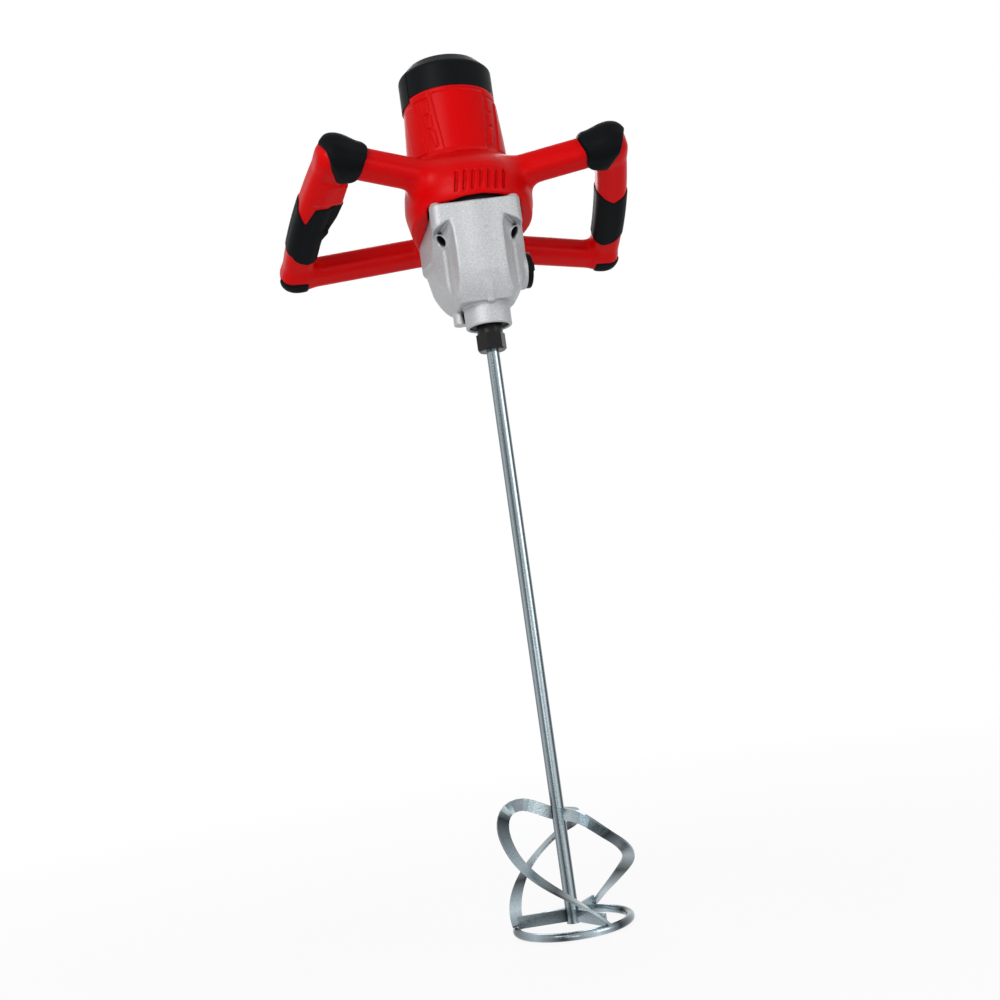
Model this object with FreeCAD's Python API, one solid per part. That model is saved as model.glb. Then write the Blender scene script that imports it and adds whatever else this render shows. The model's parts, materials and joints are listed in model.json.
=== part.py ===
import FreeCAD, Part
import math
import os

V = FreeCAD.Vector

# A two-handed mixing drill. Z runs up the spindle axis, X to the side, -Y is the front.
# The origin is the centre of the gear case's nose rim. All lengths are millimetres.

# Shared play and overrun
overrun = 3.0
running_gap = 0.06
fit_gap = 0.02
free_gap = 0.4

# Gear case
nose_diameter = 47.0
nose_height = 21.5
nose_bore = 40.0
case_top = 118.0
case_wall = 3.5
case_wheel_gap = 0.7
case_floor = 27.0
motor_offset = 43.0
# height above the nose, front radius, rear radius, rear centre
case_section_shares = (
    (0.00, 0.57, 0.55, 0.62),
    (0.07, 0.68, 0.70, 0.75),
    (0.16, 0.82, 0.82, 0.86),
    (0.28, 0.93, 0.92, 0.95),
    (0.50, 1.00, 1.00, 1.00),
    (1.00, 1.00, 1.00, 1.00),
)
shoulder_half_width = 45.0
shoulder_corner = 10.0
facet_angle = 32.0
panel_turn = 11.0
panel_half_width = 25.0
panel_edge_lean = 18.0
facet_top = 103.0
facet_shoulder = 84.0
facet_cut = 5.5
panel_rib_width = 8.0
panel_rib_rise = 4.5
panel_rib_top = 46.0
tab_width = 5.0
tab_reach = 4.0
lug_radius = 4.5
lug_drop = 12.0
lug_angle = 136.0
collar_room = 8.0

# Case screws
screw_inset = 7.2
front_screw_place = (37.5, 24.0)
rear_screw_angle = 45.0
screw_head_radius = 4.2
screw_head_height = 4.5
screw_shank_radius = 2.5
screw_length = 32.0
screw_seat = 108.0
pocket_radius = 5.0
boss_radius = 6.5

# Gears
gear_module = 1.5
first_wheel_teeth = 36
first_pinion_teeth = 12
second_wheel_teeth = 32
second_pinion_teeth = 16
drive_module = 1.0
drive_pinion_teeth = 7
drive_wheel_teeth = 42
gear_width = 7.0
neutral_gap = 1.0
pressure_angle = 20.0
addendum_share = 0.80
dedendum_share = 1.15
backlash = 0.28
root_relief_share = 0.72
gear_room = 2.2
first_wheel_bottom = 40.0
groove_height = 5.0
groove_radius = 7.6
drive_wheel_bottom = 100.0
drive_wheel_width = 8.0
wheel_hub_radius = 14.0
wheel_web_share = 0.55

# Layshaft
layshaft_radius = 4.0
layshaft_hex = 9.0
layshaft_seat_radius = 6.0
layshaft_floor = 35.0
bush_radius = 7.0
bush_length = 7.0

# Spindle
hex_flats = 26.0
hex_bottom = -24.0
hex_height = 17.0
hex_chamfer = 2.0
collar_radius = 13.0
bearing_seat_radius = 8.5
lower_bearing_bottom = 6.0
lower_bearing_height = 12.0
spindle_shoulder_radius = 11.0
wheel_seat_radius = 9.0
spindle_top_radius = 7.5
upper_bearing_radius = 16.0
upper_bearing_height = 7.0
seal_bottom = 2.0
thread_radius = 7.0
thread_depth = 20.0

# Selector
selector_y = 3.0
selector_z = 57.0
selector_boss_radius = 19.0
selector_boss_face = 45.5
knob_radius = 18.0
knob_thickness = 5.0
knob_bar_width = 8.0
knob_bar_rise = 2.0
knob_gap = 0.4
selector_shaft_radius = 5.0
crank_thickness = 4.0
crank_face = 39.5
crank_pin_radius = 2.5
crank_swing = 90.0
crank_slack = 0.5

# Shift fork
fork_thickness = 4.0
fork_radial = 5.0
fork_gap = 0.4
rod_place = (17.6, 46.4)
rod_radius = 3.0
rod_top = 84.0
rod_seat = 5.0
fork_hub_radius = 5.5
tongue_inner = 30.0
tongue_outer = 35.0
tongue_half_length = 6.5
tongue_wall = 3.0

# Bearing plate
plate_thickness = 8.0
plate_rim = 2.0
armature_bearing_radius = 14.0
armature_bearing_height = 7.0

# Motor
armature_shaft_radius = 5.0
pinion_reach = 20.0
fan_radius = 35.0
fan_bottom = 133.0
fan_height = 9.0
fan_plate = 2.0
fan_blades = 9
fan_blade_thickness = 2.0
fan_hub_radius = 9.0
core_radius = 22.0
core_bottom = 152.0
core_height = 55.0
winding_radius = 19.0
winding_length = 8.0
commutator_radius = 14.0
commutator_bottom = 219.0
commutator_height = 15.0
commutator_bars = 12
bar_slot_width = 0.8
bar_slot_depth = 1.2
top_bearing_radius = 11.0
top_bearing_height = 7.0
armature_top = 252.0
stator_ring = 11.0
coil_room = 7.3
air_gap = 0.7
pole_half_angle = 52.0
coil_half_angle = 33.0
coil_overhang = 7.0

# Brush gear
bracket_bottom = 216.0
bracket_top = 246.0
bracket_plate = 4.0
bracket_hub_wall = 3.5
brush_width = 6.0
brush_height = 8.0
brush_length = 14.0
brush_gap = 0.08
holder_wall = 1.2
holder_inset = 2.0

# Motor housing
housing_top = 252.0
stator_to_tube = 10.5
stator_to_mouth = 5.8
housing_wall = 3.5
belly_radius = 66.5
belly_offset = 14.0
skirt_front = 122.5
skirt_rear = 90.0
skirt_floor = 4.0
case_clearance = 1.6
ledge_thickness = 6.0
sleeve_wall = 2.5
shoulder_top = 180.0
belly_level = 128.0
# height between the belly level and the shoulder top, front radius between tube and belly, front centre
housing_upper_shares = (
    (0.00, 1.00, 1.00),
    (0.36, 0.86, 0.98),
    (0.62, 0.58, 0.90),
    (0.84, 0.24, 0.62),
    (1.00, 0.02, 0.10),
)
skirt_low = 86.0
skirt_low_radius_share = 0.86
vent_count = 7
vent_pitch = 8.0
vent_width = 2.8
vent_low = 128.0
vent_high = 147.0
vent_depth = 14.0
vent_slant = 10.0

# Top cap
cap_overhang = 2.2
cap_rise = 27.0
cap_crown_rise = 11.0
cap_crown_radius = 38.0
cap_wall = 3.0
cap_tab_drop = 5.0
cap_tab_half_angle = 24.0
cap_seam_width = 1.2
cap_seam_depth = 1.0
cap_screw_radius = 1.8
cap_screw_head_radius = 3.5
cap_screw_head_height = 2.2
cap_screw_length = 14.0
cap_screw_place = 33.0

# Handle loops
grip_top = V(140.5, -41.0, 168.0)
grip_bottom = V(172.0, 118.0, 103.0)
upper_root = (36.0, -8.0)
lower_root = (12.0, 91.0)
outer_bend = 15.0
inner_bend = 10.0
handle_width = 33.5
arm_width = 31.0
handle_depth = 32.0
handle_corner = 11.0
handle_wall = 3.0
sleeve_thickness = 1.4
sleeve_start_share = 0.36
sleeve_end_share = 0.84
bumper_rise = 5.0
bumper_size = 25.0
bumper_back = -31.0
# outline seen from the front: across and up from the upper corner
bumper_outline_shares = (
    (-1.24, -0.10), (-1.32, 0.28), (-1.10, 0.74), (-0.69, 0.92), (-0.02, 0.95), (0.28, 0.80),
    (0.52, 0.45), (0.32, 0.05), (0.14, -0.60), (-0.14, -0.90), (-0.66, -1.00), (-1.00, -0.62),
)
foot_rise = 1.8
foot_reach = 34.0
foot_wrap = 5.0

# Trigger and switch
trigger_start = 52.0
trigger_length = 46.0
trigger_proud = 5.0
trigger_tip_proud = 0.4
trigger_width = 17.0
trigger_root = 8.0
trigger_pivot_inset = 5.0
trigger_play = 1.5
pivot_radius = 2.0
bulge_length = 30.0
bulge_proud = 4.5
bulge_width = 22.0
switch_length = 44.0
switch_thickness = 8.0
switch_offset = 1.7
button_radius = 4.5
button_proud = 3.0
button_place = 44.5
button_flange_radius = 5.2
button_flange = 1.2

# Handle screws
handle_screw_radius = 1.6
handle_screw_head_radius = 3.4
handle_screw_head = 2.4
handle_screw_inset = 1.0
handle_boss_radius = 4.2
handle_screw_shares = (0.12, 0.90)
arm_screw_share = 0.62

# Swelling at the back of the housing, where the lower arms and the cable enter
back_radius = 34.0
back_offset = 78.0
back_straight_top = 122.0
back_top = 156.0
back_top_radius = 30.0
back_top_offset = 58.0

# Cable inlet
inlet_radius = 9.0
inlet_bore = 4.5
inlet_z = 106.0
inlet_reach = 8.0

# Stirrer
shaft_radius = 6.5
ring_plane = -595.0
ring_radius = 56.0
ring_rod_radius = 4.0
blade_count = 3
blade_width = 12.0
blade_thickness = 2.5
blade_height = 107.0
blade_first_angle = 166.0
blade_sweep = 124.0
crown_tilt = 13.0
stud_gap = 0.05
blade_steps = 40
# sweep, radius over the ring's, height over the blade's, how much of the crown's tilt
blade_path_shares = (
    (0.00, 0.06, 1.00, 0.00),
    (0.00, 0.36, 1.01, 0.55),
    (0.01, 0.64, 1.01, 0.95),
    (0.05, 0.87, 0.965, 1.05),
    (0.13, 1.02, 0.875, 0.90),
    (0.24, 1.09, 0.77, 0.62),
    (0.37, 1.12, 0.64, 0.35),
    (0.52, 1.10, 0.50, 0.12),
    (0.68, 1.05, 0.36, 0.00),
    (0.82, 1.01, 0.235, 0.00),
    (0.93, 0.985, 0.13, 0.00),
    (1.00, 0.96, 0.05, 0.00),
)

# Values worked out from the sizes above
nose_radius = nose_diameter / 2
centre_distance = gear_module * (first_wheel_teeth + first_pinion_teeth) / 2
drive_distance = drive_module * (drive_wheel_teeth + drive_pinion_teeth) / 2
layshaft_y = (centre_distance ** 2 - drive_distance ** 2 + motor_offset ** 2) / (2 * motor_offset)
layshaft_x = math.sqrt(centre_distance ** 2 - layshaft_y ** 2)
drive_tip = drive_module * (drive_wheel_teeth / 2 + addendum_share)
case_radius = layshaft_x + drive_tip + case_wheel_gap + case_wall
plate_radius = case_radius - screw_inset + screw_shank_radius + plate_rim
shift_travel = 2 * gear_width + neutral_gap
crank_radius = shift_travel / 2 / math.sin(math.radians(crank_swing / 2))
groove_bottom = first_wheel_bottom + gear_width
second_pinion_bottom = groove_bottom + groove_height
second_wheel_bottom = second_pinion_bottom + shift_travel
plate_top = case_top + plate_thickness
seal_top = lower_bearing_bottom
lower_bearing_top = lower_bearing_bottom + lower_bearing_height
core_top = core_bottom + core_height
spindle_top = plate_top - running_gap
stator_radius = core_radius + air_gap + coil_room + stator_ring
housing_radius = stator_radius + stator_to_tube
housing_mouth_radius = stator_radius + stator_to_mouth
cap_radius = housing_mouth_radius + cap_overhang
cap_shoulder = housing_top + cap_rise
cap_top = cap_shoulder + cap_crown_rise
handle_slope = grip_bottom - grip_top
plane_down = V(0, handle_slope.y, handle_slope.z).normalize()
handle_normal = V(1, 0, 0).cross(plane_down)


# Basic solids
def cylinder(radius, bottom, top, x=0.0, y=0.0):
    return Part.makeCylinder(radius, top - bottom, V(x, y, bottom))


def ring(outer, inner, bottom, top, x=0.0, y=0.0):
    hole = cylinder(inner, bottom - overrun, top + overrun, x, y)
    return cylinder(outer, bottom, top, x, y).cut(hole)


def block(low, high):
    return Part.makeBox(high.x - low.x, high.y - low.y, high.z - low.z, low)


def prism(points, direction):
    return Part.Face(Part.makePolygon(points + points[:1])).extrude(direction)


def turned(points, x=0.0, y=0.0):
    outline = [V(x + radius, y, z) for radius, z in points]
    face = Part.Face(Part.makePolygon(outline + outline[:1]))
    return face.revolve(V(x, y, 0), V(0, 0, 1), 360)


def hexagon(flats, bottom, top, x=0.0, y=0.0):
    corner = flats / 2 / math.cos(math.pi / 6)
    points = [V(x + corner * math.cos(k * math.pi / 3), y + corner * math.sin(k * math.pi / 3), bottom)
              for k in range(6)]
    return prism(points, V(0, 0, top - bottom))


def sector(outer, inner, half_angle, middle, bottom, top, x, y):
    wedge = Part.makeCylinder(outer, top - bottom, V(x, y, bottom), V(0, 0, 1), 2 * half_angle)
    wedge.rotate(V(x, y, 0), V(0, 0, 1), middle - half_angle)
    return wedge.cut(cylinder(inner, bottom - overrun, top + overrun, x, y))


def fuse(shapes):
    joined = shapes[0].multiFuse(shapes[1:])
    return joined.removeSplitter()


def mirrored(shape):
    return shape.mirror(V(0, 0, 0), V(1, 0, 0))


# A plan outline of two circles on the Y axis and their shared tangents
def hull_wire(z, front_radius, front_y, rear_radius, rear_y):
    lean = math.asin((front_radius - rear_radius) / (rear_y - front_y))
    across, along = math.cos(lean), math.sin(lean)
    front_right = V(front_radius * across, front_y + front_radius * along, z)
    rear_right = V(rear_radius * across, rear_y + rear_radius * along, z)
    front_left = V(-front_right.x, front_right.y, z)
    rear_left = V(-rear_right.x, rear_right.y, z)
    front_arc = Part.Arc(front_right, V(0, front_y - front_radius, z), front_left)
    rear_arc = Part.Arc(rear_left, V(0, rear_y + rear_radius, z), rear_right)
    sides = [Part.LineSegment(front_left, rear_left), Part.LineSegment(rear_right, front_right)]
    return Part.Wire([front_arc.toShape(), sides[0].toShape(), rear_arc.toShape(), sides[1].toShape()])


def loft(wires, ruled=True):
    return Part.makeLoft(wires, True, ruled)


def hull_prism(radius, bottom, top):
    wire = hull_wire(bottom, radius, 0.0, radius, motor_offset)
    return Part.Face(wire).extrude(V(0, 0, top - bottom))


# Gears with flanks of straight chords on the involute
def half_tooth_angle(radius, pitch_radius, base_radius, half_pitch):
    pressure = math.radians(pressure_angle)
    involute = math.tan(pressure) - pressure
    if radius <= base_radius:
        return (half_pitch + involute) * (root_relief_share if radius < base_radius else 1.0)
    roll = math.acos(base_radius / radius)
    return half_pitch + involute - (math.tan(roll) - roll)


def gear(teeth, module, bottom, top, x, y, tooth_towards):
    pitch_radius = module * teeth / 2
    base_radius = pitch_radius * math.cos(math.radians(pressure_angle))
    tip = pitch_radius + addendum_share * module
    root = pitch_radius - dedendum_share * module
    half_pitch = math.pi / (2 * teeth) - backlash / (2 * pitch_radius)
    radii = sorted({root, max(root, base_radius), pitch_radius, (pitch_radius + tip) / 2, tip})
    flank = [(r, half_tooth_angle(r, pitch_radius, base_radius, half_pitch)) for r in radii]
    points = []
    for k in range(teeth):
        middle = tooth_towards + 2 * math.pi * k / teeth
        rising = [(r, middle - half) for r, half in flank]
        falling = [(r, middle + half) for r, half in reversed(flank)]
        points += [V(x + r * math.cos(a), y + r * math.sin(a), bottom) for r, a in rising + falling]
    return prism(points, V(0, 0, top - bottom))


def gap_angle(teeth):
    return math.pi / teeth


# Gear case
def case_block(inset, extra):
    wires = []
    for height, front, rear, place in case_section_shares:
        z = nose_height + height * (case_top + extra - nose_height)
        wires.append(hull_wire(z, front * case_radius - inset, 0.0, rear * case_radius - inset,
                               place * motor_offset))
    return loft(wires)


# Square shoulders in front of the case, with the same taper as its front
def shoulder_wire(z, share, grow):
    side = share * shoulder_half_width + grow
    front = -share * case_radius - grow
    corner = share * shoulder_corner + grow
    bend = corner * (1 - math.cos(math.pi / 4))
    left = [V(-side, 0, z), V(-side, front + corner, z), V(-side + corner, front, z)]
    right = [V(side - corner, front, z), V(side, front + corner, z), V(side, 0, z)]
    left_arc = Part.Arc(left[1], V(-side + bend, front + bend, z), left[2])
    right_arc = Part.Arc(right[0], V(side - bend, front + bend, z), right[1])
    lines = [Part.LineSegment(*ends) for ends in ((left[0], left[1]), (left[2], right[0]),
                                                  (right[1], right[2]), (right[2], left[0]))]
    curves = [lines[0], left_arc, lines[1], right_arc, lines[2], lines[3]]
    return Part.Wire([curve.toShape() for curve in curves])


def case_shoulders():
    wires = []
    for height, front, rear, place in case_section_shares:
        wires.append(shoulder_wire(nose_height + height * (case_top - nose_height), front, 0.0))
    return turned_panel(loft(wires))


def facet_cutter(side):
    inner = case_radius - facet_cut
    outer = math.hypot(shoulder_half_width, case_radius)
    points = [V(case_radius, 0, facet_top), V(inner, 0, facet_shoulder), V(inner, 0, nose_height),
              V(outer, 0, nose_height), V(outer, 0, facet_top)]
    cutter = prism([p + V(0, -outer, 0) for p in points], V(0, 2 * outer, 0))
    cutter.rotate(V(0, 0, 0), V(0, 0, 1), -facet_angle)
    cutter = cutter.cut(front_panel())
    cutter = cutter if side > 0 else mirrored(cutter)
    return turned_panel(cutter)


# What the flutes leave standing between them, wider towards the spindle
def front_panel():
    front = -case_radius - overrun
    wide = panel_half_width + case_radius * math.tan(math.radians(panel_edge_lean))
    points = [V(-panel_half_width, front, 0), V(panel_half_width, front, 0), V(wide, 0, 0), V(-wide, 0, 0)]
    return prism(points, V(0, 0, case_top))


def screw_places():
    reach = case_radius - screw_inset
    across, ahead = front_screw_place
    turn = FreeCAD.Rotation(V(0, 0, 1), -panel_turn)
    places = []
    for side in (1, -1):
        front = turn.multVec(V(side * across, -ahead, 0))
        rear = math.radians(90 - side * rear_screw_angle)
        places.append((front.x, front.y))
        places.append((reach * math.cos(rear), motor_offset + reach * math.sin(rear)))
    return places


# The front panel between the facets is turned a little about the spindle
def turned_panel(shape):
    shape.rotate(V(0, 0, 0), V(0, 0, 1), -panel_turn)
    return shape


# Rooms for the wheels, kept inside an even wall, and for the selector's crank
def case_rooms():
    wheel_tip = gear_module * first_wheel_teeth / 2 + gear_module
    top = case_top + overrun
    inside = case_block(case_wall, overrun)
    rooms = [
        cylinder(wheel_tip + gear_room, case_floor, top),
        cylinder(drive_tip + gear_room, layshaft_floor, top, layshaft_x, layshaft_y),
        cylinder(pinion_reach - gear_room, drive_wheel_bottom - gear_room, top, 0.0, motor_offset),
    ]
    crank_room = Part.makeCylinder(crank_radius + crank_pin_radius + gear_room,
                                   crank_face + free_gap - tongue_inner,
                                   V(tongue_inner, selector_y, selector_z), V(1, 0, 0))
    return [room.common(inside) for room in rooms] + [crank_room]


def case_details():
    rib_reach = nose_radius + panel_rib_rise
    rib = block(V(-panel_rib_width / 2, -rib_reach, nose_height), V(panel_rib_width / 2, 0, panel_rib_top))
    tab = block(V(0, -tab_width / 2, nose_height),
                V(nose_radius + tab_reach, tab_width / 2, nose_height + tab_width))
    lug_out = nose_radius + collar_room + lug_radius
    turn = math.radians(lug_angle)
    lug = cylinder(lug_radius, nose_height - lug_drop, nose_height + lug_drop, lug_out * math.cos(turn),
                   lug_out * math.sin(turn))
    return [turned_panel(rib), tab, lug]


def gear_case():
    nose = cylinder(nose_radius, 0.0, nose_height + overrun)
    selector_boss = Part.makeCylinder(selector_boss_radius, selector_boss_face,
                                      V(0, selector_y, selector_z), V(1, 0, 0))
    body = fuse([case_block(0.0, 0.0), case_shoulders()])
    for side in (1, -1):
        body = body.cut(facet_cutter(side))
    body = fuse([body, nose, selector_boss] + case_details())
    body = body.cut(Part.makeCylinder(knob_radius + free_gap, case_radius, V(selector_boss_face, selector_y,
                                      selector_z), V(1, 0, 0)))
    for room in case_rooms():
        body = body.cut(room)
    holes = [
        cylinder(nose_bore / 2, -overrun, lower_bearing_top),
        cylinder(spindle_shoulder_radius + free_gap, -overrun, case_floor + overrun),
        cylinder(bush_radius + fit_gap, layshaft_floor - bush_length, layshaft_floor + overrun,
                 layshaft_x, layshaft_y),
        cylinder(rod_radius + fit_gap, layshaft_floor - rod_seat, layshaft_floor + overrun, *rod_place),
        Part.makeCylinder(selector_shaft_radius + running_gap, selector_boss_face,
                          V(tongue_outer, selector_y, selector_z), V(1, 0, 0)),
    ]
    for x, y in screw_places():
        holes.append(cylinder(pocket_radius, -overrun, screw_seat, x, y))
        holes.append(cylinder(screw_shank_radius + running_gap, 0.0, case_top + overrun, x, y))
    return body.cut(fuse(holes))


# Bearing plate between gear case and motor
def bearing_plate():
    ears = [cylinder(screw_shank_radius + plate_rim, case_top, plate_top, x, y) for x, y in screw_places()]
    plate = fuse([hull_prism(plate_radius, case_top, plate_top)] + ears)
    holes = [
        cylinder(upper_bearing_radius + fit_gap, case_top - overrun, case_top + upper_bearing_height),
        cylinder(spindle_top_radius + free_gap, case_top, plate_top + overrun),
        cylinder(armature_bearing_radius + fit_gap, plate_top - armature_bearing_height,
                 plate_top + overrun, 0.0, motor_offset),
        cylinder(armature_shaft_radius + free_gap, case_top - overrun, plate_top, 0.0, motor_offset),
        cylinder(bush_radius + fit_gap, case_top - overrun, plate_top + overrun, layshaft_x, layshaft_y),
    ]
    holes += [cylinder(screw_shank_radius + running_gap, case_top - overrun, plate_top + overrun, x, y)
              for x, y in screw_places()]
    return plate.cut(fuse(holes))


def case_screws():
    screws = []
    for x, y in screw_places():
        head = cylinder(screw_head_radius, screw_seat - screw_head_height, screw_seat, x, y)
        recess = hexagon(screw_head_radius, screw_seat - screw_head_height - overrun,
                         screw_seat - screw_head_height / 2, x, y)
        shank = cylinder(screw_shank_radius, screw_seat - screw_head_height / 4,
                         screw_seat + screw_length, x, y)
        screws.append(fuse([head.cut(recess), shank]))
    return Part.makeCompound(screws)


# Spindle with its two wheels
def spindle():
    hexed = hexagon(hex_flats, hex_bottom, hex_bottom + hex_height)
    corner = hex_flats / 2 / math.cos(math.pi / 6)
    trim = turned([(0, hex_bottom), (corner - hex_chamfer, hex_bottom), (corner, hex_bottom + hex_chamfer),
                   (corner, hex_bottom + hex_height), (0, hex_bottom + hex_height)])
    steps = [
        (collar_radius, hex_bottom + hex_height, lower_bearing_bottom),
        (bearing_seat_radius, lower_bearing_bottom, lower_bearing_top),
        (spindle_shoulder_radius, lower_bearing_top, first_wheel_bottom - free_gap),
        (wheel_seat_radius, first_wheel_bottom - free_gap, second_wheel_bottom + gear_width),
        (spindle_top_radius, second_wheel_bottom + gear_width, spindle_top),
    ]
    body = fuse([hexed.common(trim)] + [cylinder(r, low, high) for r, low, high in steps])
    return body.cut(cylinder(thread_radius, hex_bottom - overrun, hex_bottom + thread_depth))


def spindle_wheel(teeth, bottom, towards):
    wheel = gear(teeth, gear_module, bottom, bottom + gear_width, 0.0, 0.0, towards)
    rim = gear_module * teeth / 2 - 3 * gear_module
    web = gear_width * wheel_web_share
    for low in (bottom - overrun, bottom + (gear_width + web) / 2):
        depth = (gear_width - web) / 2 + (overrun if low < bottom else 2 * overrun)
        wheel = wheel.cut(ring(rim, wheel_hub_radius, low, low + depth))
    return wheel.cut(cylinder(wheel_seat_radius + fit_gap, bottom - overrun, bottom + gear_width + overrun))


def wheel_spacer():
    return ring(wheel_hub_radius - gear_module, wheel_seat_radius + fit_gap, groove_bottom,
                second_wheel_bottom)


# Layshaft, its driven wheel and the sliding cluster
layshaft_angle = math.atan2(layshaft_y, layshaft_x)
drive_angle = math.atan2(motor_offset - layshaft_y, -layshaft_x)


def layshaft():
    hex_top = drive_wheel_bottom - free_gap
    steps = [
        cylinder(layshaft_radius, layshaft_floor - bush_length + running_gap, plate_top,
                 layshaft_x, layshaft_y),
        hexagon(layshaft_hex, layshaft_floor + free_gap, hex_top, layshaft_x, layshaft_y),
        cylinder(layshaft_seat_radius, hex_top, case_top - free_gap, layshaft_x, layshaft_y),
    ]
    return fuse(steps)


def drive_wheel():
    top = drive_wheel_bottom + drive_wheel_width
    wheel = gear(drive_wheel_teeth, drive_module, drive_wheel_bottom, top, layshaft_x, layshaft_y,
                 drive_angle)
    bore = cylinder(layshaft_seat_radius + fit_gap, drive_wheel_bottom - overrun, top + overrun,
                    layshaft_x, layshaft_y)
    return wheel.cut(bore)


def sliding_cluster():
    back = layshaft_angle + math.pi
    low = gear(first_pinion_teeth, gear_module, first_wheel_bottom, groove_bottom, layshaft_x, layshaft_y,
               back + gap_angle(first_pinion_teeth))
    neck = cylinder(groove_radius, groove_bottom, second_pinion_bottom, layshaft_x, layshaft_y)
    high = gear(second_pinion_teeth, gear_module, second_pinion_bottom, second_pinion_bottom + gear_width,
                layshaft_x, layshaft_y, back + gap_angle(second_pinion_teeth))
    bore = hexagon(layshaft_hex + 2 * running_gap, first_wheel_bottom - overrun,
                   second_pinion_bottom + gear_width + overrun, layshaft_x, layshaft_y)
    return fuse([low, neck, high]).cut(bore)


# Shift fork on its rod, moved by the selector's crank pin
def fork_rod():
    return cylinder(rod_radius, layshaft_floor - rod_seat, rod_top, *rod_place)


def crank_pin_y():
    return selector_y + crank_radius * math.cos(math.radians(crank_swing / 2))


def shift_fork():
    bottom = groove_bottom + (groove_height - fork_thickness) / 2
    top = bottom + fork_thickness
    inner = groove_radius + fork_gap
    claw = ring(inner + fork_radial, inner, bottom, top, layshaft_x, layshaft_y)
    mouth = block(V(layshaft_x - inner - fork_radial - overrun, layshaft_y - inner, bottom - overrun),
                  V(layshaft_x, layshaft_y + inner, top + overrun))
    hub = cylinder(fork_hub_radius, bottom, top, *rod_place)
    pin_z = bottom + fork_thickness / 2
    slot_half = crank_pin_radius + crank_slack
    pin_far_y = selector_y + crank_radius
    tongue = block(V(tongue_inner, crank_pin_y() - tongue_half_length, pin_z - slot_half - tongue_wall),
                   V(tongue_outer, pin_far_y + tongue_half_length, pin_z + slot_half + tongue_wall))
    slot = block(V(tongue_inner - overrun, crank_pin_y() - tongue_half_length - overrun, pin_z - slot_half),
                 V(tongue_outer + overrun, pin_far_y + slot_half, pin_z + slot_half))
    arm = block(V(tongue_inner, pin_far_y, bottom), V(tongue_outer, layshaft_y, top))
    keep = cylinder(inner, bottom - overrun, top + overrun, layshaft_x, layshaft_y)
    fork = fuse([claw.cut(mouth), hub, arm.cut(keep), tongue])
    return fork.cut(slot).cut(cylinder(rod_radius + running_gap, 0.0, rod_top + overrun, *rod_place))


def selector_knob():
    face = selector_boss_face + knob_gap
    disc = Part.makeCylinder(knob_radius, knob_thickness, V(face, selector_y, selector_z), V(1, 0, 0))
    disc = disc.makeFillet(knob_thickness / 4, [e for e in disc.Edges if e.BoundBox.XMin > face])
    bar = block(V(face, selector_y - knob_radius + knob_bar_width / 2, selector_z - knob_bar_width / 2),
                V(face + knob_thickness + knob_bar_rise, selector_y + knob_radius - knob_bar_width / 2,
                  selector_z + knob_bar_width / 2))
    return fuse([disc, bar])


def selector_crank():
    start = crank_face - crank_thickness
    shaft = Part.makeCylinder(selector_shaft_radius, selector_boss_face + knob_gap - start,
                              V(start, selector_y, selector_z), V(1, 0, 0))
    swing = math.radians(crank_swing / 2)
    pin_y = selector_y + crank_radius * math.cos(swing)
    pin_z = selector_z - crank_radius * math.sin(swing)
    pin_start = tongue_inner + free_gap
    pin = Part.makeCylinder(crank_pin_radius, crank_face - pin_start, V(pin_start, pin_y, pin_z), V(1, 0, 0))
    arm = block(V(start, selector_y, selector_z - crank_pin_radius),
                V(crank_face, selector_y + crank_radius, selector_z + crank_pin_radius))
    arm.rotate(V(0, selector_y, selector_z), V(1, 0, 0), -crank_swing / 2)
    eye = Part.makeCylinder(crank_pin_radius, crank_thickness, V(start, pin_y, pin_z), V(1, 0, 0))
    return fuse([shaft, arm, eye, pin])


# Bearings, bushes and seal
def bearings():
    y = motor_offset
    bracket_hub = bracket_top - top_bearing_height
    plate_bearing = plate_top - armature_bearing_height
    return {
        "spindle_lower_bearing": ring(nose_bore / 2 - fit_gap, bearing_seat_radius + fit_gap,
                                      lower_bearing_bottom, lower_bearing_top),
        "spindle_upper_bearing": ring(upper_bearing_radius, spindle_top_radius + running_gap, case_top,
                                      case_top + upper_bearing_height),
        "layshaft_lower_bush": ring(bush_radius, layshaft_radius + running_gap, layshaft_floor - bush_length,
                                    layshaft_floor, layshaft_x, layshaft_y),
        "layshaft_upper_bush": ring(bush_radius, layshaft_radius + running_gap, case_top, plate_top,
                                    layshaft_x, layshaft_y),
        "armature_lower_bearing": ring(armature_bearing_radius, armature_shaft_radius + running_gap,
                                       plate_bearing, plate_top, 0.0, y),
        "armature_upper_bearing": ring(top_bearing_radius, armature_shaft_radius + running_gap, bracket_hub,
                                       bracket_top, 0.0, y),
        "nose_seal": ring(nose_bore / 2 - fit_gap, collar_radius + running_gap, seal_bottom,
                          seal_top - fit_gap),
    }


# Motor
def armature_shaft():
    y = motor_offset
    pinion_top = case_top - free_gap
    pinion = gear(drive_pinion_teeth, drive_module, case_top - pinion_reach, pinion_top, 0.0, y,
                  drive_angle + math.pi + gap_angle(drive_pinion_teeth))
    return fuse([pinion, cylinder(armature_shaft_radius, pinion_top, armature_top, 0.0, y)])


def armature_core():
    y = motor_offset
    core = cylinder(core_radius, core_bottom, core_top, 0.0, y)
    turns = cylinder(winding_radius, core_bottom - winding_length, core_top + winding_length, 0.0, y)
    bore = cylinder(armature_shaft_radius + fit_gap, core_bottom - winding_length - overrun,
                    core_top + winding_length + overrun, 0.0, y)
    return fuse([core, turns]).cut(bore)


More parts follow.
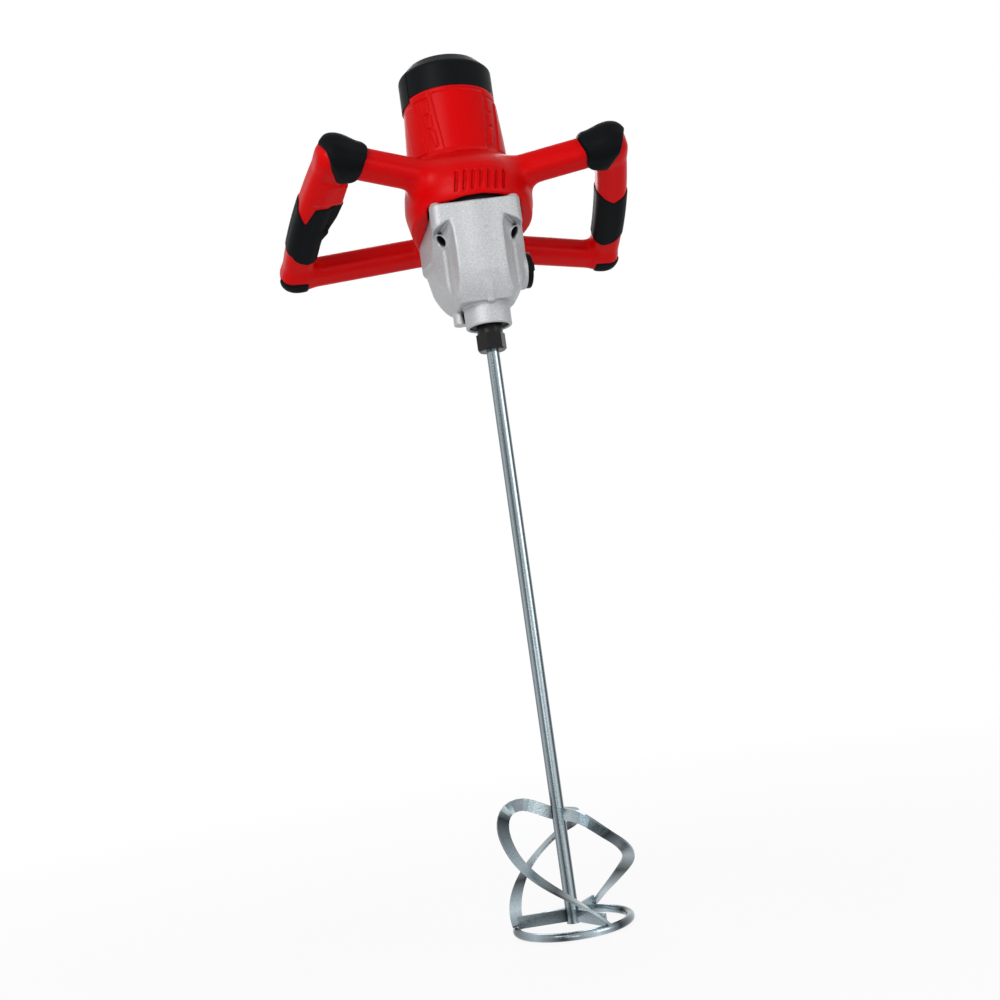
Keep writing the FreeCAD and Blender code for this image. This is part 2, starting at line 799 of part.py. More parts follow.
def commutator():
    y = motor_offset
    top = commutator_bottom + commutator_height
    body = ring(commutator_radius, armature_shaft_radius + fit_gap, commutator_bottom, top, 0.0, y)
    slots = []
    for k in range(commutator_bars):
        slot = block(V(commutator_radius - bar_slot_depth, -bar_slot_width / 2, commutator_bottom - overrun),
                     V(commutator_radius + overrun, bar_slot_width / 2, top + overrun))
        slot.rotate(V(0, 0, 0), V(0, 0, 1), 360 * k / commutator_bars)
        slots.append(slot.translated(V(0, y, 0)))
    return body.cut(fuse(slots))


def fan():
    y = motor_offset
    plate = cylinder(fan_radius, fan_bottom + fan_height - fan_plate, fan_bottom + fan_height, 0.0, y)
    hub = cylinder(fan_hub_radius, fan_bottom, fan_bottom + fan_height, 0.0, y)
    blades = []
    for k in range(fan_blades):
        blade = block(V(0, -fan_blade_thickness / 2, fan_bottom),
                      V(fan_radius - fan_blade_thickness, fan_blade_thickness / 2, fan_bottom + fan_height))
        blade.rotate(V(0, 0, 0), V(0, 0, 1), 360 * k / fan_blades)
        blades.append(blade.translated(V(0, y, 0)))
    bore = cylinder(armature_shaft_radius + fit_gap, fan_bottom - overrun, fan_bottom + fan_height + overrun,
                    0.0, y)
    return fuse([plate, hub] + blades).cut(bore)


def stator_core():
    y = motor_offset
    bore = core_radius + air_gap
    pieces = [ring(stator_radius, stator_radius - stator_ring, core_bottom, core_top, 0.0, y)]
    for middle in (0, 180):
        pieces.append(sector(stator_radius - stator_ring / 2, bore, pole_half_angle, middle, core_bottom,
                             core_top, 0.0, y))
    return fuse(pieces)


def field_coils():
    y = motor_offset
    inner = core_radius + air_gap
    outer = stator_radius - stator_ring - fit_gap
    coils = [sector(outer, inner, coil_half_angle, middle, core_bottom - coil_overhang,
                    core_top + coil_overhang, 0.0, y) for middle in (90, 270)]
    return Part.makeCompound(coils)


# Brush gear in the top of the housing
def brush_middle():
    return commutator_bottom + commutator_height / 2


def holder_half_sizes():
    return brush_width / 2 + holder_wall, brush_height / 2 + holder_wall


def brush_start():
    return commutator_radius + brush_gap


def brush_bracket():
    y = motor_offset
    outer = housing_mouth_radius - housing_wall - free_gap
    hub = top_bearing_radius + bracket_hub_wall
    plate = cylinder(outer, bracket_top - bracket_plate, bracket_top, 0.0, y)
    boss = cylinder(hub, bracket_top - top_bearing_height - bracket_plate / 2, bracket_top, 0.0, y)
    half_width, half_height = holder_half_sizes()
    posts = []
    for side in (1, -1):
        far = brush_start() + holder_inset + brush_length
        near = brush_start() + holder_inset
        low = V(min(side * near, side * far), y - half_width - holder_wall, brush_middle() - half_height
                - holder_wall)
        high = V(max(side * near, side * far), y + half_width + holder_wall, bracket_top)
        posts.append(block(low, high))
    body = fuse([plate, boss] + posts)
    bore = cylinder(top_bearing_radius + fit_gap, bracket_top - top_bearing_height, bracket_top + overrun,
                    0.0, y)
    through = cylinder(armature_shaft_radius + free_gap, bracket_bottom, bracket_top, 0.0, y)
    turning_room = cylinder(commutator_radius + holder_inset / 2, bracket_bottom,
                            brush_middle() + half_height,
                            0.0, y)
    for side in (1, -1):
        body = body.cut(holder_block(side, fit_gap, overrun))
    screw_holes = [cylinder(cap_screw_radius + running_gap, bracket_bottom, cap_top, x, y)
                   for x in (cap_screw_place, -cap_screw_place)]
    return body.cut(fuse([bore, through, turning_room] + screw_holes))


def holder_block(side, grow, extra):
    half_width, half_height = holder_half_sizes()
    near = brush_start() + holder_inset - extra
    far = brush_start() + holder_inset + brush_length + extra
    low = V(min(side * near, side * far), motor_offset - half_width - grow,
            brush_middle() - half_height - grow)
    high = V(max(side * near, side * far), motor_offset + half_width + grow,
             brush_middle() + half_height + grow)
    return block(low, high)


def brush_block(side, grow, extra):
    near = brush_start() - extra
    far = brush_start() + brush_length + extra
    low = V(min(side * near, side * far), motor_offset - brush_width / 2 - grow,
            brush_middle() - brush_height / 2 - grow)
    high = V(max(side * near, side * far), motor_offset + brush_width / 2 + grow,
             brush_middle() + brush_height / 2 + grow)
    return block(low, high)


def brush_holders():
    return Part.makeCompound([holder_block(side, 0.0, 0.0).cut(brush_block(side, running_gap, overrun))
                              for side in (1, -1)])


def carbon_brushes():
    face = cylinder(commutator_radius + brush_gap, commutator_bottom, commutator_bottom + commutator_height,
                    0.0, motor_offset)
    return Part.makeCompound([brush_block(side, 0.0, 0.0).cut(face) for side in (1, -1)])


# Motor housing
def housing_sections(inset):
    rear = housing_radius - inset
    wires = [hull_wire(skirt_low, belly_radius * skirt_low_radius_share - inset, belly_offset,
                       rear, motor_offset)]
    for height, swell, place in housing_upper_shares:
        z = belly_level + height * (shoulder_top - belly_level)
        radius = housing_radius + swell * (belly_radius - housing_radius) - inset
        wires.append(hull_wire(z, radius, motor_offset - place * (motor_offset - belly_offset), rear,
                               motor_offset))
    last_place = housing_upper_shares[-1][2]
    mouth = housing_mouth_radius - inset
    last_y = motor_offset - last_place * (motor_offset - belly_offset)
    wires.append(hull_wire(housing_top, mouth, last_y, mouth, motor_offset))
    return wires


def skirt_height(y, lift):
    front_y = belly_offset - belly_radius
    rear_y = motor_offset + housing_radius
    share = (y - front_y) / (rear_y - front_y)
    return skirt_front + share * (skirt_rear - skirt_front) + lift


# Everything under the slanted lower edge of the skirt
def under_skirt(lift):
    reach = 2 * belly_radius
    front, rear = -reach, motor_offset + reach
    low = skirt_low - reach
    points = [V(-reach, front, low), V(-reach, front, skirt_height(front, lift)),
              V(-reach, rear, skirt_height(rear, lift)), V(-reach, rear, low)]
    return prism(points, V(2 * reach, 0, 0))


def back_swelling(inset):
    spots = ((skirt_low, back_radius, back_offset), (back_straight_top, back_radius, back_offset),
             (back_top, back_top_radius, back_top_offset))
    return loft([Part.Wire(Part.makeCircle(radius - inset, V(0, y, z - inset))) for z, radius, y in spots])


def housing_outside():
    return fuse([loft(housing_sections(0.0)), back_swelling(0.0)])


def vent_slots():
    slots = []
    front = belly_offset - belly_radius
    for k in range(vent_count):
        x = (k - (vent_count - 1) / 2) * vent_pitch
        slot = block(V(x - vent_width / 2, front - overrun, vent_low),
                     V(x + vent_width / 2, front + vent_depth + vent_depth, vent_high))
        slot.rotate(V(x, 0, (vent_low + vent_high) / 2), V(0, 1, 0), vent_slant)
        slots.append(slot)
    return slots


def housing_inside():
    hollow = fuse([loft(housing_sections(housing_wall)), back_swelling(housing_wall)])
    hollow = hollow.cut(under_skirt(skirt_floor))
    ledge_low, ledge_high = plate_top, plate_top + ledge_thickness
    reach = 2 * belly_radius
    ledge = block(V(-reach, -reach, ledge_low), V(reach, motor_offset + reach, ledge_high))
    sleeve = ring(stator_radius + fit_gap + sleeve_wall, stator_radius + fit_gap, core_bottom, core_top, 0.0,
                  motor_offset)
    flanges = [ring(housing_radius, stator_radius + fit_gap, low, low + ledge_thickness, 0.0, motor_offset)
               for low in (core_bottom, core_top - ledge_thickness)]
    bosses = [cylinder(boss_radius, ledge_high, screw_seat + screw_length + sleeve_wall, x, y)
              for x, y in screw_places()]
    rooms = [cylinder(fan_radius + gear_room, ledge_low - overrun, ledge_high + overrun, 0.0, motor_offset),
             cylinder(spindle_top_radius + gear_room, ledge_low - overrun, ledge_high + overrun)]
    fan_room = cylinder(fan_radius + gear_room, ledge_low, core_bottom, 0.0, motor_offset)
    solid = fuse([ledge.cut(fuse(rooms)), sleeve] + flanges + [boss.cut(fan_room) for boss in bosses])
    return hollow.cut(solid)


# Room for the gear case, its square shoulders and the ears of the bearing plate
def room_for_case():
    shoulders = Part.Face(shoulder_wire(skirt_low, 1.0, case_clearance))
    shoulders = turned_panel(shoulders.extrude(V(0, 0, case_top + free_gap - skirt_low)))
    ears = [cylinder(screw_shank_radius + plate_rim + free_gap, case_top - overrun, plate_top, x, y)
            for x, y in screw_places()]
    return fuse([hull_prism(case_radius + case_clearance, skirt_low, plate_top), shoulders] + ears)


def motor_housing(outside):
    body = outside.cut(housing_inside())
    inlet_y = back_offset + back_radius
    inlet_hole = Part.makeCylinder(inlet_radius + fit_gap, 2 * inlet_reach,
                                   V(0, inlet_y - 2 * inlet_reach + overrun, inlet_z), V(0, 1, 0))
    spigot_room = cylinder(housing_mouth_radius - housing_wall, core_top, housing_top + overrun, 0.0,
                           motor_offset)
    cuts = [room_for_case(), inlet_hole, spigot_room] + vent_slots()
    cuts += [cylinder(screw_shank_radius + running_gap, plate_top - overrun, screw_seat + screw_length, x, y)
             for x, y in screw_places()]
    return body.cut(fuse(cuts))


def cable_inlet():
    outer_face = back_offset + back_radius
    start = outer_face - housing_wall - inlet_reach / 2
    tube = Part.makeCylinder(inlet_radius, inlet_reach + housing_wall, V(0, start, inlet_z), V(0, 1, 0))
    bore = Part.makeCylinder(inlet_bore, 2 * inlet_reach + 2 * overrun, V(0, start - overrun, inlet_z),
                             V(0, 1, 0))
    return tube.cut(bore)


# Top cap with two side tabs
def top_cap(outside):
    y = motor_offset
    outer = turned([(0, housing_top), (cap_radius, housing_top), (cap_radius, cap_shoulder),
                    (cap_crown_radius, cap_top), (0, cap_top)], 0.0, y)
    edges = [e for e in outer.Edges if abs(e.BoundBox.ZMin - cap_shoulder) < fit_gap
             and abs(e.BoundBox.ZMax - cap_shoulder) < fit_gap]
    outer = outer.makeFillet((cap_top - cap_shoulder) / 2, edges)
    inner = turned([(0, housing_top - overrun), (cap_radius - cap_wall, housing_top - overrun),
                    (cap_radius - cap_wall, cap_shoulder - cap_wall),
                    (cap_crown_radius - cap_wall, cap_top - cap_wall), (0, cap_top - cap_wall)], 0.0, y)
    tabs = [sector(cap_radius, cap_radius - 2 * cap_wall, cap_tab_half_angle, middle,
                   housing_top - cap_tab_drop, housing_top, 0.0, y).cut(outside) for middle in (0, 180)]
    seams = []
    for middle in (0, 180):
        for edge in (-1, 1):
            seam = block(V(cap_radius - cap_seam_depth, -cap_seam_width / 2, housing_top - overrun),
                         V(cap_radius + overrun, cap_seam_width / 2, cap_shoulder))
            seam.rotate(V(0, 0, 0), V(0, 0, 1), middle + edge * cap_tab_half_angle)
            seams.append(seam.translated(V(0, y, 0)))
    screw_posts = [cylinder(cap_screw_head_radius + cap_wall, bracket_top, cap_top, x, y)
                   for x in (cap_screw_place, -cap_screw_place)]
    holes = []
    for x in (cap_screw_place, -cap_screw_place):
        holes.append(cylinder(cap_screw_radius + running_gap, bracket_top - overrun, cap_top, x, y))
        holes.append(cylinder(cap_screw_head_radius + running_gap, bracket_top + cap_wall, cap_top, x, y))
    below = cylinder(cap_radius, bracket_top, housing_top, 0.0, y)
    within = fuse([outer, below])
    shell = fuse([outer.cut(inner)] + tabs + [post.common(within) for post in screw_posts])
    return shell.cut(fuse(seams + holes))


def cap_screws():
    screws = []
    for x in (cap_screw_place, -cap_screw_place):
        seat = bracket_top + cap_wall
        head = cylinder(cap_screw_head_radius, seat, seat + cap_screw_head_height, x, motor_offset)
        shank = cylinder(cap_screw_radius, seat - cap_screw_length + cap_wall, seat, x, motor_offset)
        screws.append(fuse([head, shank]))
    return Part.makeCompound(screws)


# Handle loops, made on the +X side and mirrored. Their outline is drawn on a slanted parting plane:
# across is X, down is the distance along the slope from the upper corner
def plane_point(across, down):
    return V(across, grip_top.y, grip_top.z) + plane_down * down


def plane_spot(x, y):
    return V(x, (y - grip_top.y) / plane_down.y, 0)


def handle_spots():
    return [plane_spot(*upper_root), plane_spot(grip_top.x, grip_top.y),
            plane_spot(grip_bottom.x, grip_bottom.y), plane_spot(*lower_root)]


def handle_points():
    return [plane_point(spot.x, spot.y) for spot in handle_spots()]


# Each straight run moved sideways, away from the hand window when the shift is positive
def shifted_run(start, end, shift):
    heading = (end - start).normalize()
    away = V(heading.y, -heading.x, 0) * shift
    return start + away, heading, end + away


def crossing(first, second):
    p, h, _ = first
    q, g, _ = second
    share = (q - p).cross(g).z / h.cross(g).z
    return p + h * share


def outline_points(arm_shift, grip_shift):
    a, b, c, d = handle_spots()
    upper = shifted_run(a, b, arm_shift)
    grip = shifted_run(b, c, grip_shift)
    lower = shifted_run(c, d, arm_shift)
    spots = [upper[0], crossing(upper, grip), crossing(grip, lower), lower[2]]
    return [plane_point(spot.x, spot.y) for spot in spots]


def along(start, end, distance):
    return start + (end - start).normalize() * distance


def bend_ends(before, corner, after, radius):
    half_turn = (corner - before).getAngle(after - corner) / 2
    inset = radius * math.tan(half_turn)
    start, end = along(corner, before, inset), along(corner, after, inset)
    middle_way = ((before - corner).normalize() + (after - corner).normalize()).normalize()
    middle = corner + middle_way * (radius / math.cos(half_turn) - radius)
    return start, middle, end


def bent_edges(points, radius):
    edges, here = [], points[0]
    for before, corner, after in zip(points, points[1:], points[2:]):
        start, middle, end = bend_ends(before, corner, after, radius)
        edges += [Part.LineSegment(here, start).toShape(), Part.Arc(start, middle, end).toShape()]
        here = end
    return edges + [Part.LineSegment(here, points[-1]).toShape()]


def handle_sweep(grow):
    outer = outline_points(arm_width / 2 + grow, handle_width / 2 + grow)
    inner = outline_points(-arm_width / 2 - grow, -handle_width / 2 - grow)[::-1]
    ends = [Part.LineSegment(outer[-1], inner[0]).toShape(), Part.LineSegment(inner[-1], outer[0]).toShape()]
    edges = bent_edges(outer, outer_bend + grow) + ends[:1] + bent_edges(inner, inner_bend - grow) + ends[1:]
    depth = handle_depth + 2 * grow
    face = Part.Face(Part.Wire(edges)).translated(handle_normal * (-depth / 2))
    solid = face.extrude(handle_normal * depth)
    return solid.makeFillet(handle_corner + grow, rim_edges(solid, depth))


# The long edges of both flat sides, without the ends buried in the housing
def rim_edges(solid, depth):
    roots = (handle_points()[0], handle_points()[3])
    rims = []
    for edge in solid.Edges:
        middle = edge.valueAt((edge.FirstParameter + edge.LastParameter) / 2)
        lift = (middle - grip_top).dot(handle_normal)
        at_root = min((middle - handle_normal * lift - root).Length for root in roots)
        if abs(lift) > depth / 4 and at_root > handle_corner / 4:
            rims.append(edge)
    return rims


# A big block on one side of the handle's parting plane, shifted along its normal
def plane_side(shift, sign):
    reach = 4 * handle_slope.Length
    spot = grip_top + handle_normal * shift
    along_y = V(1, 0, 0).cross(handle_normal)
    corner = spot - V(1, 0, 0) * reach - along_y * reach
    points = [corner, corner + V(1, 0, 0) * 2 * reach, corner + V(1, 0, 0) * 2 * reach + along_y * 2 * reach,
              corner + along_y * 2 * reach]
    return prism(points, handle_normal * sign * reach)


def grip_start():
    return along(grip_top, grip_bottom, arm_width / 2)


def grip_end():
    return along(grip_bottom, grip_top, arm_width / 2)


# The grip's own directions: along it, in towards the hand window, and off the parting plane
def grip_axes():
    lengthwise = (grip_bottom - grip_top).normalize()
    inward = handle_normal.cross(lengthwise)
    if inward.x > 0:
        inward = inward * -1
    return lengthwise, inward


def grip_point(distance, inward_by, lifted=0.0):
    lengthwise, inward = grip_axes()
    return grip_top + lengthwise * distance + inward * inward_by + handle_normal * lifted


def grip_prism(outline, width):
    points = [grip_point(a, b, -width / 2) for a, b in outline]
    return prism(points, handle_normal * width)


def grip_sleeve():
    length = (grip_end() - grip_start()).Length
    first = arm_width / 2 + length * sleeve_start_share
    last = arm_width / 2 + length * sleeve_end_share
    side = handle_width
    zone = grip_prism([(first, -side), (last, -side), (last, side), (first, side)], 2 * handle_depth)
    return handle_sweep(sleeve_thickness).cut(handle_sweep(0.0)).common(zone)


def upper_bumper():
    front = grip_top.y - 2 * handle_depth
    outline = [V(grip_top.x + bumper_size * across, front, grip_top.z + bumper_size * up)
               for across, up in bumper_outline_shares]
    zone = prism(outline, V(0, bumper_back - front, 0))
    return largest(handle_sweep(bumper_rise).cut(handle_sweep(0.0)).common(zone))


def lower_bumper():
    corner = outline_points(arm_width / 2, handle_width / 2)[2]
    start = corner - handle_normal * handle_depth
    zone = Part.makeCylinder(foot_reach, handle_depth - foot_wrap, start, handle_normal)
    return largest(handle_sweep(foot_rise).cut(handle_sweep(0.0)).common(zone))


def trigger_outline(grow):
    surface = handle_width / 2
    end = trigger_start + trigger_length
    start, end, root = trigger_start - grow, end + grow, surface - trigger_root - grow
    return [(start, root), (end, root), (end, surface + trigger_tip_proud + grow),
            (start, surface + trigger_proud + grow)]


def pivot_spot():
    return trigger_start + trigger_length - trigger_pivot_inset, handle_width / 2 - trigger_pivot_inset


def pivot_cylinder(radius, half_length):
    start = grip_point(*pivot_spot(), -half_length)
    return Part.makeCylinder(radius, 2 * half_length, start, handle_normal)


def trigger():
    lever = grip_prism(trigger_outline(0.0), trigger_width)
    return lever.cut(pivot_cylinder(pivot_radius + running_gap, handle_depth))


def trigger_pin(grow):
    return pivot_cylinder(pivot_radius + grow, handle_depth / 2 - 1.5 * handle_wall + grow)


def trigger_slot():
    surface = handle_width / 2
    end = trigger_start + trigger_length
    low = surface - 2 * handle_wall
    outline = [(trigger_start - free_gap, low), (end + trigger_play, low),
               (end + trigger_play, surface + trigger_proud),
               (trigger_start - free_gap, surface + trigger_proud)]
    return grip_prism(outline, trigger_width + 2 * free_gap)


# The swelling above the trigger that covers the switch
def switch_bulge():
    surface = handle_width / 2
    start = trigger_start - bulge_length
    end = trigger_start - free_gap
    outline = [(start, surface - handle_wall), (end, surface - handle_wall), (end, surface + bulge_proud),
               (start + bulge_length / 2, surface + bulge_proud)]
    return grip_prism(outline, bulge_width)


def switch_module():
    start = trigger_start
    low = -switch_offset - switch_thickness / 2
    outline = [(start, low), (start + switch_length, low), (start + switch_length, low + switch_thickness),
               (start, low + switch_thickness)]
    return grip_prism(outline, handle_depth - 2 * handle_wall - 2 * fit_gap)


def lock_button():
    start = grip_point(button_place, 0.0, handle_depth / 2 - handle_wall - button_flange)
    stem = Part.makeCylinder(button_radius, handle_wall + button_flange + button_proud, start, handle_normal)
    flange = Part.makeCylinder(button_flange_radius, button_flange - 2 * running_gap, start, handle_normal)
    return fuse([stem, flange])


def button_hole():
    start = grip_point(button_place, 0.0, handle_depth / 2 - 2 * handle_wall)
    return Part.makeCylinder(button_radius + running_gap, 4 * handle_wall, start, handle_normal)


def handle_screw_places():
    a, b, c, d = handle_points()
    places = [grip_start() + (grip_end() - grip_start()) * share for share in handle_screw_shares]
    return places + [b + (a - b) * arm_screw_share, c + (d - c) * arm_screw_share]


def screw_boss(place):
    half = handle_depth / 2
    return Part.makeCylinder(handle_boss_radius, 2 * half - 2 * handle_wall + 2 * fit_gap,
                             place - handle_normal * (half - handle_wall + fit_gap), handle_normal)


def screw_hole(place):
    half = handle_depth / 2
    start = place + handle_normal * (half + overrun)
    pilot = Part.makeCylinder(handle_screw_radius + running_gap, handle_depth, start, handle_normal * -1)
    counterbore = Part.makeCylinder(handle_screw_head_radius + running_gap,
                                    overrun + handle_screw_inset + handle_screw_head, start,
                                    handle_normal * -1)
    return fuse([pilot, counterbore])


def handle_screw(place):
    half = handle_depth / 2
    head_top = place + handle_normal * (half - handle_screw_inset)
    head = Part.makeCylinder(handle_screw_head_radius, handle_screw_head, head_top, handle_normal * -1)
    shank = Part.makeCylinder(handle_screw_radius, handle_depth - handle_wall - overrun, head_top,
                              handle_normal * -1)
    return fuse([head, shank])


def handle_loop(with_trigger):
    loop = handle_sweep(0.0)
    hollow = handle_sweep(-handle_wall)
    for place in handle_screw_places():
        hollow = hollow.cut(screw_boss(place))
    if with_trigger:
        loop = fuse([loop, switch_bulge()])
    loop = loop.cut(hollow)
    loop = loop.cut(fuse([screw_hole(place) for place in handle_screw_places()]))
    if with_trigger:
        loop = loop.cut(trigger_slot()).cut(button_hole()).cut(trigger_pin(fit_gap))
    return loop


def handle_halves(loop, outside):
    front = loop.cut(plane_side(0.0, 1)).cut(outside)
    rear = loop.cut(plane_side(0.0, -1)).cut(outside)
    return largest(front), largest(rear)


def largest(shape):
    return max(shape.Solids, key=lambda solid: solid.Volume)


def handle_screws(sides):
    screws = [handle_screw(place) for place in handle_screw_places()]
    return Part.makeCompound([screw if side > 0 else mirrored(screw) for side in sides for screw in screws])


# Stirrer
def stirrer_shaft():
    rod = cylinder(shaft_radius, ring_plane, hex_bottom)
    stud = cylinder(thread_radius - stud_gap, hex_bottom, hex_bottom + thread_depth - free_gap)
    return fuse([rod, stud])


def stirrer_ring():
    return Part.makeTorus(ring_radius, ring_rod_radius, V(0, 0, ring_plane), V(0, 0, 1))


def blade_point(start_angle, shares):
    sweep, radius, height, tilt = shares
    angle = math.radians(start_angle + sweep * blade_sweep)
    lift = -crown_tilt * tilt * math.cos(angle)
    return V(radius * ring_radius * math.cos(angle), radius * ring_radius * math.sin(angle),
             ring_plane + height * blade_height + lift)


# The strip stands on edge: its width points away from the loop's middle in the plane of axis and radius
def blade_section(points, k):
    here = points[k]
    heading = (points[min(k + 1, len(points) - 1)] - points[max(k - 1, 0)]).normalize()
    radial = V(here.x, here.y, 0).normalize()
    edge = V(0, 0, 1) * heading.dot(radial) - radial * heading.z
    edge = (edge - heading * edge.dot(heading)).normalize()
    flat = heading.cross(edge)
    w, t = edge * (blade_width / 2), flat * (blade_thickness / 2)
    corners = [here - w - t, here + w - t, here + w + t, here - w + t]
    return Part.makePolygon(corners + corners[:1])


def smooth_points(points):
    curve = Part.BSplineCurve()
    curve.interpolate(points)
    first, last = curve.FirstParameter, curve.LastParameter
    return [curve.value(first + (last - first) * k / blade_steps) for k in range(blade_steps + 1)]


def bottom_arm(start_angle):
    low = ring_plane + ring_rod_radius / 2
    arm = block(V(0, -blade_thickness / 2, low), V(ring_radius - ring_rod_radius / 2, blade_thickness / 2,
                                                   low + blade_width))
    arm.rotate(V(0, 0, 0), V(0, 0, 1), start_angle + blade_sweep)
    return arm


def stirrer_blade(start_angle, keep_clear):
    points = smooth_points([blade_point(start_angle, shares) for shares in blade_path_shares])
    strip = loft([blade_section(points, k) for k in range(len(points))])
    return largest(fuse([strip, bottom_arm(start_angle)]).cut(keep_clear))


# All pieces by name
def build():
    pieces = {
        "gear_case": gear_case(),
        "bearing_plate": bearing_plate(),
        "gear_case_screws": case_screws(),
        "spindle": spindle(),
        "first_gear_wheel": spindle_wheel(first_wheel_teeth, first_wheel_bottom, layshaft_angle),
        "second_gear_wheel": spindle_wheel(second_wheel_teeth, second_wheel_bottom, layshaft_angle),
        "wheel_spacer": wheel_spacer(),
        "layshaft": layshaft(),
        "drive_wheel": drive_wheel(),
        "sliding_gear_cluster": sliding_cluster(),
        "fork_rod": fork_rod(),
        "shift_fork": shift_fork(),
        "selector_knob": selector_knob(),
        "selector_crank": selector_crank(),
        "armature_shaft": armature_shaft(),
        "armature_core": armature_core(),
        "commutator": commutator(),
        "cooling_fan": fan(),
        "stator_core": stator_core(),
        "field_coils": field_coils(),
        "brush_bracket": brush_bracket(),
        "brush_holders": brush_holders(),
        "carbon_brushes": carbon_brushes(),
        "cap_screws": cap_screws(),
        "cable_inlet": cable_inlet(),
        "stirrer_shaft": stirrer_shaft(),
        "stirrer_ring": stirrer_ring(),
    }
    pieces.update(bearings())
    outside = housing_outside().cut(under_skirt(0.0))
    pieces["motor_housing"] = motor_housing(outside)
    pieces["top_cap"] = top_cap(outside)
    right_loop = handle_loop(False)
    left_loop = handle_loop(True)
    for side, loop in (("right", right_loop), ("left", left_loop)):
        front, rear = handle_halves(loop, outside)
        sleeve = grip_sleeve()
        if side == "left":
            sleeve = sleeve.cut(grip_prism(trigger_outline(trigger_play), trigger_width + 2 * trigger_play))
        shapes = {"handle_front": front, "handle_rear": rear, "grip_sleeve": sleeve,
                  "upper_bumper": upper_bumper(), "lower_bumper": lower_bumper()}
        for name, shape in shapes.items():
            pieces[side + "_" + name] = shape if side == "right" else mirrored(shape)
    for name, shape in (("trigger", trigger()), ("trigger_pin", trigger_pin(0.0)),
                        ("switch_module", switch_module()), ("lock_button", lock_button())):
        pieces[name] = mirrored(shape)
    pieces["handle_screws"] = handle_screws((1, -1))
    keep_clear = fuse([stirrer_shaft(), stirrer_ring()])
    for k in range(blade_count):
        angle = blade_first_angle + 360 * k / blade_count
        pieces["stirrer_blade_" + "abc"[k]] = stirrer_blade(angle, keep_clear)
    return pieces


os.makedirs("parts", exist_ok=True)
for name, shape in build().items():
    shape.exportStep("parts/" + name + ".step")
    print("%-24s solids %d valid %s volume %.0f" % (name, len(shape.Solids), shape.isValid(), shape.Volume))
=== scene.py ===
import itertools
import json
import math

import bpy
import numpy as np
from mathutils import Matrix, Vector


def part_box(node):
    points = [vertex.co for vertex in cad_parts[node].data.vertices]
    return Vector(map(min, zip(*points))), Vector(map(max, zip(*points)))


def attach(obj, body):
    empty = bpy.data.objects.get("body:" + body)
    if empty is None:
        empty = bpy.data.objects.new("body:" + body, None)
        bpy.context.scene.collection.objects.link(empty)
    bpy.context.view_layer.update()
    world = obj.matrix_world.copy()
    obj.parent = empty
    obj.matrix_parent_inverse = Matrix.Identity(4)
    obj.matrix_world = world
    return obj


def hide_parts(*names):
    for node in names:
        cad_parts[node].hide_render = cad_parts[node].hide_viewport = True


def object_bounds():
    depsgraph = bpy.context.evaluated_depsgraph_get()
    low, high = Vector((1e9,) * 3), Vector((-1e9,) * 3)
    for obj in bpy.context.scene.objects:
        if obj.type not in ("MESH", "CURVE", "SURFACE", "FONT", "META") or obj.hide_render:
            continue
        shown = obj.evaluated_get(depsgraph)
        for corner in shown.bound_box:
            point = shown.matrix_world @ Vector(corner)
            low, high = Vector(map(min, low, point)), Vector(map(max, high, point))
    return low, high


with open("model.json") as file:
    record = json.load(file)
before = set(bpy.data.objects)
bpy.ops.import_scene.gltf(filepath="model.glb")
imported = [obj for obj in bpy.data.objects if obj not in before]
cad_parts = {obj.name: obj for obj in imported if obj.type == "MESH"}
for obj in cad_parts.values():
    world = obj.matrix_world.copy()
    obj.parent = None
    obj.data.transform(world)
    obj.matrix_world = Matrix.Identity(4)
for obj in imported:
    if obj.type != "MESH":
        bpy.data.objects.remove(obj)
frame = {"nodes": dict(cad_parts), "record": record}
first_low, first_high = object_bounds()
nodes = frame["nodes"]
record = frame["record"]

# The moulded and cast skins are fields of distance on a grid, worked out in millimetres
metres = 0.001
shell_step, vent_step, tube_step, piece_step = 1.3, 0.7, 0.8, 1.0
margin, blur_count, relax_share, tiny = 4.0, 5, 0.5, 1e-9

# Motor housing: height, front radius, front centre, rear radius; the rear centre is the motor's axis
motor_axis = 43.0
housing_levels = (
    (80.0, 56.0, 14.0, 51.5),
    (128.0, 66.5, 14.0, 51.5),
    (146.7, 64.4, 14.6, 51.5),
    (160.2, 60.2, 16.9, 51.5),
    (171.7, 55.1, 25.0, 51.5),
    (180.0, 51.8, 40.1, 51.5),
    (252.0, 46.8, 40.1, 46.8),
)
housing_top, shell_top, tube_low, tube_rise = 252.0, 181.5, 177.0, 0.3
level_blur = 5.0
skirt_front = (-52.5, 122.5)
skirt_rear = (94.5, 90.0)
edge_soft = 1.5

# Swelling at the back: height, radius, centre
back_levels = ((80.0, 34.0, 78.0), (122.0, 34.0, 78.0), (156.0, 30.0, 58.0))
back_soft = 10.0
# The cable inlet's bore
inlet_low, inlet_high = (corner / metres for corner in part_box("cable_inlet"))
inlet_floor, inlet_share = 12.0, 0.62

# Relief on the tube: low and high edge, angles from the front at either edge, rise
panel_soft = 0.9
tube_panels = (
    (180.0, 247.0, (-40.0, 23.0), (-40.0, 33.0), 1.7),
    (225.5, 240.5, (35.5, 45.0), (36.4, 47.5), 1.4),
    (209.5, 223.8, (32.6, 40.2), (34.2, 44.5), 1.4),
    (189.0, 207.8, (29.0, 33.5), (31.5, 39.5), 1.4),
    (184.0, 241.0, (41.0, 66.0), (56.0, 80.0), 1.7),
    (242.5, 250.5, (35.0, 61.0), (33.5, 62.0), 1.2),
)

# Vent slots on the front of the housing
vent_count, vent_pitch, vent_width = 7, 8.0, 2.8
vent_low, vent_high = 127.0, 147.5
vent_slant, vent_floor = 0.18, 2.2

